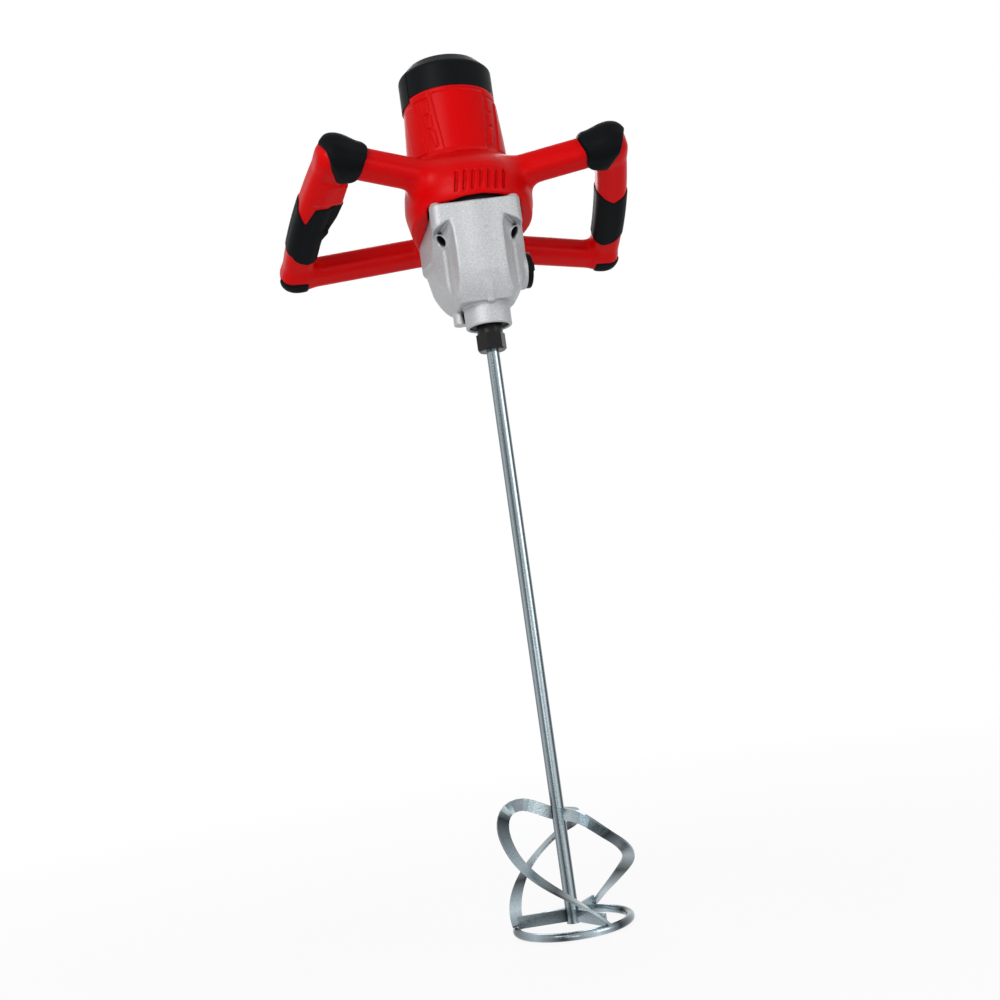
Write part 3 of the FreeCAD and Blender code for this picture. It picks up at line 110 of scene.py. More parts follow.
# Handle loops: corners across and down their slanted plane, half widths, half depth, corner rounding
handle_start = np.array((0.0, -41.0, 168.0))
handle_normal = np.array((0.0, 0.37840615, 0.92563966))
handle_down = np.array((0.0, handle_normal[2], -handle_normal[1]))
handle_spots = ((36.0, 35.65), (140.5, 0.0), (172.0, 171.77), (12.0, 142.6))
arm_half, grip_half, grip_bow = 15.0, 16.0, 5.0
upper_depth, grip_depth, lower_depth, handle_drop = 13.4, 15.2, 13.0, 0.8
handle_corner = 10.0
foot_cut, foot_cut_soft = 184.5, 6.0
bend_blend = 9.0
root_blend = 14.0

# Switch swelling, trigger slot and lock button, along the left grip and in towards the hand
bulge_middle, bulge_half = (36.5, 4.25), (14.5, 15.25)
bulge_depth, bulge_rear, bulge_ridge, bulge_lean = 18.2, 1.8, -2.0, 0.28
bulge_round, bulge_blend = 2.0, 2.5
slot_along, slot_inward, slot_half = (51.6, 99.5), (3.2, 40.0), 8.9
button_along, button_hole, button_floor = 44.5, 5.8, 7.2
# The trigger's outline, along the grip and in towards the hand
trigger_points = [
    (52.0, 8.8), (52.0, 21.7), (58.6, 21.2), (74.6, 19.5), (82.0, 17.8),
    (88.0, 16.4), (93.0, 15.6), (97.0, 14.2), (98.0, 12.0), (98.0, 8.8),
]
trigger_half, trigger_round, pivot_place, pivot_room = 8.4, 1.2, (93.0, 11.75), 2.2

# Grip sleeves: their upper edge in front, inward and along the grip, and behind
sleeve_tops = {
    "left": ((-26.0, 61.0), (-12.5, 80.0), (-7.0, 57.5), (0.0, 55.0), (20.0, 51.6)),
    "right": ((-20.0, 62.3), (-5.0, 72.8), (10.0, 59.3), (21.0, 58.2)),
}
sleeve_rear_top, sleeve_end, sleeve_rise, sleeve_soft, sleeve_clear = 62.0, 132.0, 1.0, 1.2, 0.8
notch_fade, tongue_depth = 6.0, 9.0
swell_runs, swell_half, swell_depth = ((93.0, 6.5), (109.0, 0.0)), 7.6, 13.6
swell_round, swell_blend = 5.0, 2.0

# Bumpers on the loop corners
bumper_size = 25.0
bumper_outline_shares = (
    (-1.24, -0.10), (-1.32, 0.28), (-1.10, 0.74), (-0.69, 0.92), (-0.02, 0.95), (0.28, 0.80),
    (0.52, 0.45), (0.32, 0.05), (0.14, -0.60), (-0.14, -0.90), (-0.66, -1.00), (-1.00, -0.62),
)
bumper_round, bumper_soft, bumper_rise, bumper_back = 1.0, 3.0, 4.6, -31.0
foot_corner = (161.0, 168.0)
foot_wrap, foot_rise, foot_soft = 5.0, 1.4, 2.5

# Gear case: shares of height over the nose, of front and rear radius, and of the motor's offset
case_radius, case_room, plate_top = 46.5, 1.6, 126.0
case_nose, case_top = 21.5, 118.0
case_level_shares = (
    (0.00, 0.60, 0.57, 0.62),
    (0.07, 0.71, 0.72, 0.75),
    (0.16, 0.82, 0.82, 0.86),
    (0.28, 0.93, 0.92, 0.95),
    (0.50, 1.00, 1.00, 1.00),
    (1.00, 1.00, 1.00, 1.00),
)
case_blur, cast_soft = 2.5, 3.0
bell_radius, bell_low = 50.4, 74.0
shoulder_half, shoulder_corner = 45.0, 10.0
panel_turn, panel_half, panel_lean, panel_taper = 11.0, 25.0, 18.0, 0.035
flute_angle, flute_depth, flute_soft = 32.0, 5.5, 0.9
flute_top, flute_slope, flute_ramp = 102.0, 0.5, (78.0, 98.0)
screw_spot, channel_radius, channel_top = (37.5, 24.0), 5.4, 79.0
pocket_place, pocket_tilt, pocket_radius, pocket_depth = (-2.0, 88.0), 55.0, 6.0, 9.5
rim_wall, rim_proud, rim_soft = 2.0, 2.2, 1.0
ear_spot, ear_radius, ear_rise = (38.5, 38.0), 5.0, 2.5
nose_radius, nose_round, nose_groove = 23.5, 1.5, 0.7
nose_bore, nose_bore_top, neck_room = 20.0, 18.0, 11.4
rib_shift, rib_half, rib_rise, rib_span, rib_fade = 4.0, 4.0, 2.4, (18.0, 38.0), 14.0
boss_face, boss_radius = 45.5, 19.0
selector_y, selector_z, selector_hole = 3.0, 57.0, 5.4
lug_angle, lug_out, lug_radius, lug_drop = 136.0, 32.0, 7.5, 12.0

# Rooms in the gear case
wheel_room, case_floor = 30.7, 27.0
layshaft, lay_room, lay_floor = (20.5, 29.6), 24.0, 35.0
drive_room, drive_floor = 17.8, 97.8
crank_room, crank_x, crank_half = 15.3, 35.0, 5.0

# Camera, fitted to the photo: angles in degrees, lengths in metres
camera_azimuth = -14.389
camera_distance = 1.30109
camera_height = -0.30781
camera_pitch = 3.980
camera_roll = -8.066
camera_lens = 47.092
camera_sensor = 36.0
camera_shift = (-0.0196, 0.0407)
camera_clip = (0.01, 50.0)

# Stage
floor_gap, floor_size = 0.001, 12.0
floor_colour, floor_rough = (0.85, 0.85, 0.85), 0.9
pure_white = (1, 1, 1, 1)
# The floor's white part: shares near the object and far from it, and the distances these hold at
floor_white_shares, floor_white_reach = (0.90, 1.0), (0.3, 1.6)
sky_colour, sky_strength = (0.92, 0.96, 1.0), 0.30
# Soft lights: name, place, aim, size in metres, power in watts
lights = (
    ("key", (-1.2, -1.3, 0.8), (0.0, 0.0, 0.1), 0.9, 18.0),
    ("fill", (1.2, -1.3, 0.1), (0.0, 0.0, 0.0), 1.0, 6.0),
    ("low", (-0.6, -1.4, -0.6), (0.0, 0.0, 0.0), 0.9, 8.0),
    ("back", (0.3, 1.3, 0.9), (0.0, 0.0, 0.1), 1.0, 10.0),
)

# Finishes: base colour, share of tint change, roughness, metal, shine, bump strength, grain in metres
finishes = {
    "red_shell": ((0.66, 0.001, 0.002), 0.08, 0.36, 0.0, 0.08, 0.06, 0.0012),
    "black_plastic": ((0.005, 0.006, 0.007), 0.30, 0.45, 0.0, 0.05, 0.10, 0.0008),
    "soft_grip": ((0.004, 0.005, 0.006), 0.30, 0.50, 0.0, 0.04, 0.14, 0.0010),
    "cast_aluminium": ((0.47, 0.48, 0.49), 0.22, 0.48, 0.40, 0.35, 0.35, 0.0010),
    "black_steel": ((0.006, 0.006, 0.007), 0.30, 0.35, 0.2, 0.25, 0.06, 0.0012),
    "gear_steel": ((0.38, 0.39, 0.41), 0.12, 0.32, 1.0, 0.50, 0.05, 0.0010),
    "lamination_steel": ((0.20, 0.20, 0.22), 0.20, 0.50, 0.9, 0.50, 0.15, 0.0006),
    "bearing_steel": ((0.50, 0.51, 0.53), 0.08, 0.25, 1.0, 0.50, 0.03, 0.0010),
    "bronze_brass": ((0.55, 0.36, 0.14), 0.12, 0.32, 1.0, 0.50, 0.05, 0.0010),
    "copper": ((0.55, 0.22, 0.10), 0.15, 0.34, 1.0, 0.50, 0.10, 0.0008),
    "carbon": ((0.02, 0.02, 0.02), 0.30, 0.60, 0.0, 0.30, 0.15, 0.0006),
    "zinc_steel": ((0.40, 0.48, 0.52), 0.10, 0.22, 1.0, 0.50, 0.04, 0.0020),
}
# Where the grain's darkest and lightest tints lie in its noise, and how fine the noise goes
grain_shares, grain_detail = (0.32, 0.68), 4
# CAD edges sharper than this, in degrees, stay sharp
sharp_angle = 35.0
# Painted reflections on the zinc-plated shaft, streaks of reflected light and dark in the base colour:
# share of a turn about the axis, brightness
painted_reflection_streaks = {"zinc_steel": (
    (0.00, 0.08), (0.10, 0.85), (0.18, 0.10), (0.27, 1.20), (0.34, 0.08), (0.44, 0.75), (0.52, 0.06),
    (0.60, 1.10), (0.68, 0.10), (0.78, 0.80), (0.86, 0.06), (0.94, 1.15), (1.00, 0.08),
)}

# Painted shade in hollows, darker than open faces, put into the base colour: reach in metres, openness
# at full dark and at none, darkest level
painted_hollow_shade = {
    "cast_aluminium": (0.014, 0.30, 0.62, 0.03),
    "red_shell": (0.005, 0.35, 0.85, 0.42),
}


# A finish with its own grain in colour, roughness and relief
def finish_material(name, base, tint, roughness, metal, shine, bump, grain):
    made = bpy.data.materials.new(name)
    made.use_nodes = True
    tree = made.node_tree
    shader = tree.nodes["Principled BSDF"]
    place = tree.nodes.new("ShaderNodeTexCoord")
    noise = tree.nodes.new("ShaderNodeTexNoise")
    noise.inputs["Scale"].default_value = 1 / grain
    noise.inputs["Detail"].default_value = grain_detail
    ramp = tree.nodes.new("ShaderNodeValToRGB")
    shades = [[min(1, c * level) for c in base] for level in (1 - tint, 1 + tint)]
    for element, spot, shade in zip(ramp.color_ramp.elements, grain_shares, shades):
        element.position = spot
        element.color = (*shade, 1)
    uneven = tree.nodes.new("ShaderNodeMapRange")
    uneven.inputs["To Min"].default_value = roughness * (1 - tint)
    uneven.inputs["To Max"].default_value = roughness * (1 + tint)
    relief = tree.nodes.new("ShaderNodeBump")
    relief.inputs["Strength"].default_value = bump
    relief.inputs["Distance"].default_value = grain
    shader.inputs["Metallic"].default_value = metal
    shader.inputs["Specular IOR Level"].default_value = shine
    tree.links.new(place.outputs["Object"], noise.inputs["Vector"])
    for node, socket in ((ramp, "Fac"), (uneven, "Value"), (relief, "Height")):
        tree.links.new(noise.outputs["Fac"], node.inputs[socket])
    colour = ramp.outputs["Color"]
    # Painted reflections: light and dark streaks multiplied into the base colour
    if name in painted_reflection_streaks:
        colour = painted_reflections(tree, place, colour, painted_reflection_streaks[name])
    # Painted shade: hollows darkened in the base colour
    if name in painted_hollow_shade:
        colour = painted_shade_in_hollows(tree, colour, *painted_hollow_shade[name])
    tree.links.new(colour, shader.inputs["Base Color"])
    tree.links.new(uneven.outputs["Result"], shader.inputs["Roughness"])
    tree.links.new(relief.outputs["Normal"], shader.inputs["Normal"])
    return made


# Painted reflections: darker and lighter streaks round the vertical axis, in the base colour
def painted_reflections(tree, place, colour, stops):
    turn = tree.nodes.new("ShaderNodeTexGradient")
    turn.gradient_type = "RADIAL"
    reflection_bands = tree.nodes.new("ShaderNodeValToRGB")
    while len(reflection_bands.color_ramp.elements) < len(stops):
        reflection_bands.color_ramp.elements.new(1.0)
    for element, (spot, level) in zip(reflection_bands.color_ramp.elements, stops):
        element.position = spot
        element.color = (level, level, level, 1)
    tree.links.new(place.outputs["Object"], turn.inputs["Vector"])
    tree.links.new(turn.outputs["Fac"], reflection_bands.inputs["Fac"])
    return multiplied(tree, colour, reflection_bands.outputs["Color"])


# Painted shade: the base colour darker where the surface is shut in
def painted_shade_in_hollows(tree, colour, reach, dark, clear, darkest):
    hollow = tree.nodes.new("ShaderNodeAmbientOcclusion")
    hollow.only_local = True
    hollow.inputs["Distance"].default_value = reach
    level = tree.nodes.new("ShaderNodeMapRange")
    for name, value in (("From Min", dark), ("From Max", clear), ("To Min", darkest)):
        level.inputs[name].default_value = value
    tree.links.new(hollow.outputs["AO"], level.inputs["Value"])
    return multiplied(tree, colour, level.outputs["Result"])


# One colour times another, or times a level
def multiplied(tree, colour, level):
    mix = tree.nodes.new("ShaderNodeMix")
    mix.data_type = "RGBA"
    mix.blend_type = "MULTIPLY"
    mix.inputs["Factor"].default_value = 1.0
    tree.links.new(colour, mix.inputs["A"])
    tree.links.new(level, mix.inputs["B"])
    return mix.outputs["Result"]


materials = {name: finish_material(name, *values) for name, values in finishes.items()}


# Helpers for fields: each is negative inside
def smooth_min(a, b, blend):
    share = np.clip(0.5 + 0.5 * (b - a) / blend, 0, 1)
    return b + (a - b) * share - blend * share * (1 - share)


def smooth_max(a, b, blend):
    return -smooth_min(-a, -b, blend)


def grid_axes(low, high, step):
    return [np.arange(a - margin, b + margin + step, step) for a, b in zip(low, high)]


# A finer stretch in the middle of an axis
def refined(axis, low, high, step):
    return np.concatenate([axis[axis < low - step], np.arange(low, high, step), axis[axis > high]])


def grid_places(axes):
    return np.meshgrid(*[axis.astype(np.float32) for axis in axes], indexing="ij", sparse=True)


# Values read off a table of heights, with its kinks rounded
def blurred(z, heights, values, blur):
    shifts = np.linspace(-blur, blur, blur_count)
    total = sum(np.interp(z + shift, heights, values) for shift in shifts)
    return total.astype(np.float32) / len(shifts)


# Two circles on the Y axis and their shared tangents
def hull_field(x, y, front_radius, front_y, rear_radius, rear_y):
    length = rear_y - front_y
    lean = (front_radius - rear_radius) / length
    across = np.sqrt(1 - lean ** 2)
    out, back = np.abs(x), y - front_y
    along = back * across - out * lean
    front = np.hypot(out, back) - front_radius
    rear = np.hypot(out, back - length) - rear_radius
    side = out * across + back * lean - front_radius
    return np.where(along < 0, front, np.where(along > across * length, rear, side))


def run_field(across, down, start, end, half):
    run = np.subtract(end, start)
    share = ((across - start[0]) * run[0] + (down - start[1]) * run[1]) / run.dot(run)
    share = np.clip(share, 0, 1)
    return np.hypot(across - start[0] - share * run[0], down - start[1] - share * run[1]) - half


def rounded_pair(flat, lift, corner):
    flat, lift = flat + corner, lift + corner
    outer = np.hypot(np.maximum(flat, 0), np.maximum(lift, 0))
    return outer + np.minimum(np.maximum(flat, lift), 0) - corner


def box_field(spots, halves, corner):
    outs = [np.abs(spot) - half + corner for spot, half in zip(spots, halves)]
    outer = np.sqrt(sum(np.maximum(out, 0) ** 2 for out in outs))
    deepest = outs[0]
    for out in outs[1:]:
        deepest = np.maximum(deepest, out)
    return outer + np.minimum(deepest, 0) - corner


def polygon_field(u, v, points):
    nearest, inside = None, None
    for (au, av), (bu, bv) in zip(points, points[1:] + points[:1]):
        du, dv = bu - au, bv - av
        share = np.clip(((u - au) * du + (v - av) * dv) / (du * du + dv * dv), 0, 1)
        gap = np.hypot(u - au - share * du, v - av - share * dv)
        nearest = gap if nearest is None else np.minimum(nearest, gap)
        crosses = ((av > v) != (bv > v)) & (u < du * (v - av) / (dv if dv else tiny) + au)
        inside = crosses if inside is None else inside ^ crosses
    return np.where(inside, -nearest, nearest)


# The surface where a field is zero: one point in each mixed cell, one face round each crossed edge
def skin_points(field, axes, cells):
    total = np.zeros((len(cells), 3))
    hits = np.zeros(len(cells))
    for way in range(3):
        for steps in itertools.product((0, 1), repeat=2):
            start = cells + np.insert(steps, way, 0)
            end = start + np.eye(3, dtype=int)[way]
            a, b = field[tuple(start.T)], field[tuple(end.T)]
            crossed = (a < 0) != (b < 0)
            share = np.where(crossed, a / np.where(crossed, a - b, 1), 0)
            spot = np.stack([axes[k][start[:, k]] for k in range(3)], axis=1)
            spot[:, way] += share * (axes[way][end[:, way]] - axes[way][start[:, way]])
            total[crossed] += spot[crossed]
            hits[crossed] += 1
    return total / hits[:, None]


def skin_faces(inside, index):
    faces = []
    for way in range(3):
        side = np.moveaxis(inside, way, 0)
        cell = np.moveaxis(index, way, 0)
        i, j, k = np.nonzero(side[1:, 1:-1, 1:-1] != side[:-1, 1:-1, 1:-1])
        ring = (cell[i, j, k], cell[i, j + 1, k], cell[i, j + 1, k + 1], cell[i, j, k + 1])
        quads = np.stack(ring, axis=1)
        turn = side[i, j + 1, k + 1] == (way == 1)
        quads[turn] = quads[turn][:, ::-1]
        faces.append(quads)
    return np.concatenate(faces)


# Each point drawn towards the middle of its neighbours
def relaxed(places, faces, rounds):
    here = np.concatenate([faces.ravel(), faces.ravel()])
    there = np.concatenate([np.roll(faces, 1, axis=1).ravel(), np.roll(faces, -1, axis=1).ravel()])
    count = np.bincount(here, minlength=len(places))
    for _ in range(rounds):
        sums = [np.bincount(here, places[there, k], len(places)) for k in range(3)]
        middle = np.stack([total / count for total in sums], axis=1)
        places = places + relax_share * (middle - places)
    return places


# A mesh grown from a field, in place of the CAD nodes it replaces
def skin_piece(name, field, axes, finish, replaced, rounds=2, body="body"):
    inside = field < 0
    spans = (slice(None, -1), slice(1, None))
    corners = [inside[spot] for spot in itertools.product(spans, repeat=3)]
    filled = sum(corner.astype(np.int8) for corner in corners)
    mixed = (filled > 0) & (filled < len(corners))
    index = np.full(mixed.shape, -1, dtype=np.int32)
    index[mixed] = np.arange(mixed.sum())
    places = skin_points(field, axes, np.argwhere(mixed))
    faces = skin_faces(inside, index)
    places = relaxed(places, faces, rounds)
    mesh = bpy.data.meshes.new(name)
    mesh.from_pydata(places * metres, [], faces)
    mesh.shade_smooth()
    piece = bpy.data.objects.new(name, mesh)
    bpy.context.scene.collection.objects.link(piece)
    mesh.materials.append(materials[finish])
    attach(piece, body)
    if replaced:
        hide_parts(*replaced)
    return piece


# Motor housing
def housing_hull(x, y, z):
    heights, *columns = zip(*housing_levels)
    front_radius, front_y, rear_radius = (blurred(z, heights, column, level_blur) for column in columns)
    return hull_field(x, y, front_radius, front_y, rear_radius, motor_axis)


def housing_field(x, y, z):
    heights, *columns = zip(*back_levels)
    radius, middle = (blurred(z, heights, column, level_blur) for column in columns)
    back = np.maximum(np.hypot(x, y - middle) - radius, z - heights[-1])
    body = smooth_min(housing_hull(x, y, z), back, back_soft)
    slope = (skirt_rear[1] - skirt_front[1]) / (skirt_rear[0] - skirt_front[0])
    skirt = (skirt_front[1] + slope * (y - skirt_front[0]) - z) / math.hypot(1, slope)
    body = smooth_max(body, skirt, edge_soft)
    return np.maximum(body, z - shell_top)


def tube_relief(x, y, z):
    angle = np.degrees(np.abs(np.arctan2(x, motor_axis - y)))
    arc = math.radians(1) * housing_levels[-1][1]
    rise = 0
    for low, high, low_angles, high_angles, height in tube_panels:
        share = (z - low) / (high - low)
        near, far = (a + share * (b - a) for a, b in zip(low_angles, high_angles))
        depth = np.minimum(np.minimum(angle - near, far - angle) * arc, np.minimum(z - low, high - z))
        step = np.clip(depth / panel_soft, 0, 1)
        rise = rise + height * step * step * (3 - 2 * step)
    return rise


def add_tube():
    reach = housing_levels[-2][1]
    low = (-reach, motor_axis - reach - margin, tube_low)
    high = (reach, motor_axis + reach, housing_top)
    axes = grid_axes(low, high, tube_step)
    x, y, z = grid_places(axes)
    field = housing_hull(x, y, z) - tube_relief(x, y, z) - tube_rise
    field = np.maximum(field, np.maximum(z - housing_top, tube_low - z))
    skin_piece("motor_tube", field, axes, "red_shell", [], rounds=1)


# Handle loops: across is X, down runs along the plane's slope, lift stands off it
def handle_places(x, y, z):
    away = (y - handle_start[1], z - handle_start[2])
    down = away[0] * handle_down[1] + away[1] * handle_down[2]
    lift = away[0] * handle_normal[1] + away[1] * handle_normal[2]
    return np.abs(x), down, lift


def handle_field(x, y, z):
    across, down, lift = handle_places(x, y, z)
    a, b, c, d = handle_spots
    lift = np.abs(lift + handle_drop)
    depth = grip_depth + (lower_depth - grip_depth) * np.clip(down / c[1], 0, 1)
    upper = rounded_pair(run_field(across, down, a, b, arm_half), lift - upper_depth, handle_corner)
    grip = rounded_pair(bowed_grip(x, y, z), lift - depth, handle_corner)
    lower = rounded_pair(run_field(across, down, c, d, arm_half), lift - lower_depth, handle_corner)
    loop = smooth_min(smooth_min(upper, grip, bend_blend), lower, bend_blend)
    return smooth_max(loop, down - foot_cut, foot_cut_soft)


def bowed_grip(x, y, z):
    along, inward, lift = grip_places(x, y, z)
    length = math.dist(handle_spots[1], handle_spots[2])
    share = np.clip(along / length, 0, 1)
    past = np.maximum(np.maximum(-along, along - length), 0)
    return np.hypot(inward + grip_bow * 4 * share * (1 - share), past) - grip_half


# Along the grip from its upper corner, in towards the hand, and off the plane
def grip_places(x, y, z):
    across, down, lift = handle_places(x, y, z)
    start, end = np.array(handle_spots[1]), np.array(handle_spots[2])
    way = (end - start) / np.linalg.norm(end - start)
    across, down = across - start[0], down - start[1]
    return across * way[0] + down * way[1], down * way[0] - across * way[1], lift


def switch_swelling(x, y, z):
    along, inward, lift = grip_places(x, y, z)
    roof = np.abs(lift) + np.where(lift < 0, bulge_lean * np.abs(inward - bulge_ridge), bulge_rear)
    spots = (along - bulge_middle[0], inward - bulge_middle[1], roof)
    return box_field(spots, (*bulge_half, bulge_depth), bulge_round)


def trigger_slot(x, y, z):
    along, inward, lift = grip_places(x, y, z)
    spots = (along - np.mean(slot_along), inward - np.mean(slot_inward), lift)
    return box_field(spots, (np.ptp(slot_along) / 2, np.ptp(slot_inward) / 2, slot_half), 0)


def button_room(x, y, z):
    along, inward, lift = grip_places(x, y, z)
    return np.maximum(np.hypot(along - button_along, inward) - button_hole, button_floor - lift)


def vent_field(x, y, z):
    middle = (vent_low + vent_high) / 2
    slide = x - (z - middle) * vent_slant
    nearest = np.clip(np.round(slide / vent_pitch), -(vent_count // 2), vent_count // 2)
    width = np.abs(slide - nearest * vent_pitch) - vent_width / 2
    return np.maximum(np.maximum(width, np.maximum(vent_low - z, z - vent_high)), y)


def inlet_hole(x, y, z):
    middle = (inlet_low + inlet_high) / 2
    radius = inlet_share * (inlet_high - inlet_low)[0] / 2
    return np.maximum(np.hypot(x - middle[0], z - middle[2]) - radius, inlet_high[1] - inlet_floor - y)


def room_for_case(x, y, z):
    radius = case_radius + case_room
    hull = np.maximum(hull_field(x, y, radius, 0.0, radius, motor_axis), z - plate_top)
    shoulders = np.maximum(shoulder_field(x, y, 1.0, case_room), z - case_top - case_room)
    return np.minimum(hull, shoulders)


def red_field(x, y, z):
    housing = housing_field(x, y, z)
    handles = handle_field(x, y, z)
    swollen = smooth_min(handles, switch_swelling(x, y, z), bulge_blend)
    handles = np.where(x < 0, swollen, handles)
    red = smooth_min(housing, handles, root_blend)
    red = np.maximum(red, z - shell_top)
    red = np.maximum(red, -np.maximum(vent_field(x, y, z), -housing - vent_floor))
    red = smooth_max(red, -room_for_case(x, y, z), edge_soft)
    red = np.maximum(red, -inlet_hole(x, y, z))
    left_cuts = np.minimum(trigger_slot(x, y, z), button_room(x, y, z))
    return np.maximum(red, np.where(x < 0, -left_cuts, red))


def add_red_shell():
    handles = [side + "_handle_" + half for side in ("left", "right") for half in ("front", "rear")]
    low, high = node_span(["motor_housing"] + handles)
    axes = grid_axes(low, high, shell_step)
    reach = vent_pitch * vent_count / 2 + margin
    axes[0] = refined(axes[0], -reach, reach, vent_step)
    field = red_field(*grid_places(axes))
    skin_piece("red_shell", field, axes, "red_shell", ["motor_housing"] + handles)


# Soft grips: the handle grown a little, kept only inside a zone
def sleeve_zone(side, x, y, z):
    along, inward, lift = grip_places(x, y, z)
    front_top = np.interp(inward, *zip(*sleeve_tops[side])).astype(np.float32)
    top = sleeve_rear_top + (front_top - sleeve_rear_top) * np.clip(-lift / notch_fade, 0, 1)
    tongue = np.maximum(0, 1 - (inward / grip_half) ** 2) * tongue_depth
    return np.maximum(top - along, along - sleeve_end - tongue)


# The sleeve runs out softly below the trigger
def trigger_runout(x, y, z):
    along, inward, lift = grip_places(x, y, z)
    flat = run_field(along, inward, *swell_runs, swell_half)
    return rounded_pair(flat, np.abs(lift) - swell_depth, swell_round)


def add_sleeve(side):
    low, high = node_span([side + "_grip_sleeve"])
    axes = grid_axes(low - tongue_depth, high + tongue_depth, piece_step)
    x, y, z = grid_places(axes)
    grown = handle_field(x, y, z)
    if side == "left":
        grown = smooth_min(grown, trigger_runout(x, y, z), swell_blend)
    field = smooth_max(grown - sleeve_rise, sleeve_zone(side, x, y, z), sleeve_soft)
    if side == "left":
        field = np.maximum(field, sleeve_clear - trigger_slot(x, y, z))
    skin_piece(side + "_sleeve", field, axes, "soft_grip", [side + "_grip_sleeve"])


def add_trigger():
    axes = grid_axes(*node_span(["trigger"]), vent_step)
    along, inward, lift = grip_places(*grid_places(axes))
    outline = polygon_field(along, inward, trigger_points)
    field = rounded_pair(outline, np.abs(lift) - trigger_half, trigger_round)
    pivot = pivot_room - np.hypot(along - pivot_place[0], inward - pivot_place[1])
    field = np.maximum(field, pivot)
    skin_piece("trigger_skin", field, axes, "black_plastic", ["trigger"], rounds=1, body="trigger_lever")


def add_upper_bumper(side):
    axes = grid_axes(*node_span([side + "_upper_bumper"]), piece_step)
    x, y, z = grid_places(axes)
    outline = [(handle_spots[1][0] + bumper_size * u, handle_start[2] + bumper_size * v)
               for u, v in bumper_outline_shares]
    zone = polygon_field(np.abs(x), z, outline) - bumper_round
    zone = smooth_max(zone, y - bumper_back, bumper_soft)
    field = smooth_max(handle_field(x, y, z) - bumper_rise, zone, bumper_soft)
    skin_piece(side + "_bumper", field, axes, "soft_grip", [side + "_upper_bumper"])


def add_lower_bumper(side):
    axes = grid_axes(*node_span([side + "_lower_bumper"]), piece_step)
    x, y, z = grid_places(axes)
    across, down, lift = handle_places(x, y, z)
    zone = smooth_max(foot_corner[0] - across, foot_corner[1] - down, foot_soft)
    zone = smooth_max(zone, lift + foot_wrap, foot_soft)
    field = smooth_max(handle_field(x, y, z) - foot_rise, zone, foot_soft)
    skin_piece(side + "_foot", field, axes, "soft_grip", [side + "_lower_bumper"])


# Gear case: its front panel faces a little to one side
def panel_places(x, y):
    turn = math.radians(panel_turn)
    return x * math.cos(turn) - y * math.sin(turn), -x * math.sin(turn) - y * math.cos(turn)


def shoulder_field(x, y, share, grow):
    across, ahead = panel_places(x, y)
    sizes = (shoulder_half, case_radius, shoulder_corner)
    side, front, corner = (share * size + grow for size in sizes)
    return np.maximum(rounded_pair(np.abs(across) - side, ahead - front, corner), -ahead)


def case_block(x, y, z):
    shares, *columns = zip(*case_level_shares)
    heights = [case_nose + share * (case_top - case_nose) for share in shares]
    front, rear, middle = (blurred(z, heights, column, case_blur) for column in columns)
    hull = hull_field(x, y, front * case_radius, 0.0, rear * case_radius, middle * motor_axis)
    body = smooth_min(hull, shoulder_field(x, y, front, 0.0), cast_soft)
    bell = hull_field(x, y, case_radius, 0.0, bell_radius, motor_axis)
    body = smooth_min(body, smooth_max(bell, bell_low - z, edge_soft), edge_soft)
    body = smooth_max(body, z - case_top, edge_soft)
    return np.maximum(body, case_nose - z)


# Flutes beside the front panel, and how far out their floor lies
def flute_places(x, y, z):
    across, ahead = panel_places(x, y)
    tilt = math.radians(flute_angle)
    out = np.abs(across) * math.cos(tilt) + ahead * math.sin(tilt)
    floor = np.interp(z, flute_ramp, (case_radius - flute_depth, case_radius))
    return np.abs(across), ahead, out - floor.astype(np.float32)


def flute_field(x, y, z):
    across, ahead, over = flute_places(x, y, z)
    lean = math.radians(panel_lean)
    half = panel_half - panel_taper * (flute_top - z)
    wall = (half + (case_radius - ahead) * math.tan(lean) - across) * math.cos(lean)
    roof = z - flute_top + flute_slope * (across - panel_half)
    return smooth_max(smooth_max(-over, wall, flute_soft), roof, flute_soft)


# Screw pockets lean in from the flutes, and a shallow channel runs down from each
def pocket_field(x, y, z):
    across, ahead = panel_places(x, y)
    right, front = np.abs(across) - screw_spot[0], ahead - screw_spot[1]
    turn = math.radians(flute_angle)
    out = right * math.cos(turn) + front * math.sin(turn) - pocket_place[0]
    side = front * math.cos(turn) - right * math.sin(turn)
    tilt = math.radians(pocket_tilt)
    up = z - pocket_place[1]
    gap = np.hypot(side, out * math.cos(tilt) + up * math.sin(tilt)) - pocket_radius
    depth = up * math.cos(tilt) - out * math.sin(tilt)
    rim = smooth_max(gap - rim_wall, np.maximum(-rim_proud - depth, depth - pocket_depth), rim_soft)
    channel = np.maximum(np.hypot(right, front) - channel_radius, z - channel_top)
    return np.minimum(np.maximum(gap, depth - pocket_depth), channel), rim


def case_rooms(x, y, z):
    wheels = np.maximum(np.hypot(x, y) - wheel_room, case_floor - z)
    lay = np.maximum(np.hypot(x - layshaft[0], y - layshaft[1]) - lay_room, lay_floor - z)
    drive = np.maximum(np.hypot(x, y - motor_axis) - drive_room, drive_floor - z)
    selector = np.hypot(y - selector_y, z - selector_z)
    crank = np.maximum(selector - crank_room, np.abs(x - crank_x) - crank_half)
    shaft = np.maximum(selector - selector_hole, -x)
    bore = np.maximum(np.hypot(x, y) - nose_bore, z - nose_bore_top)
    neck = np.hypot(x, y) - neck_room
    rooms = wheels
    for room in (lay, drive, crank, shaft, bore, np.maximum(neck, z - case_floor - margin)):
        rooms = np.minimum(rooms, room)
    return rooms


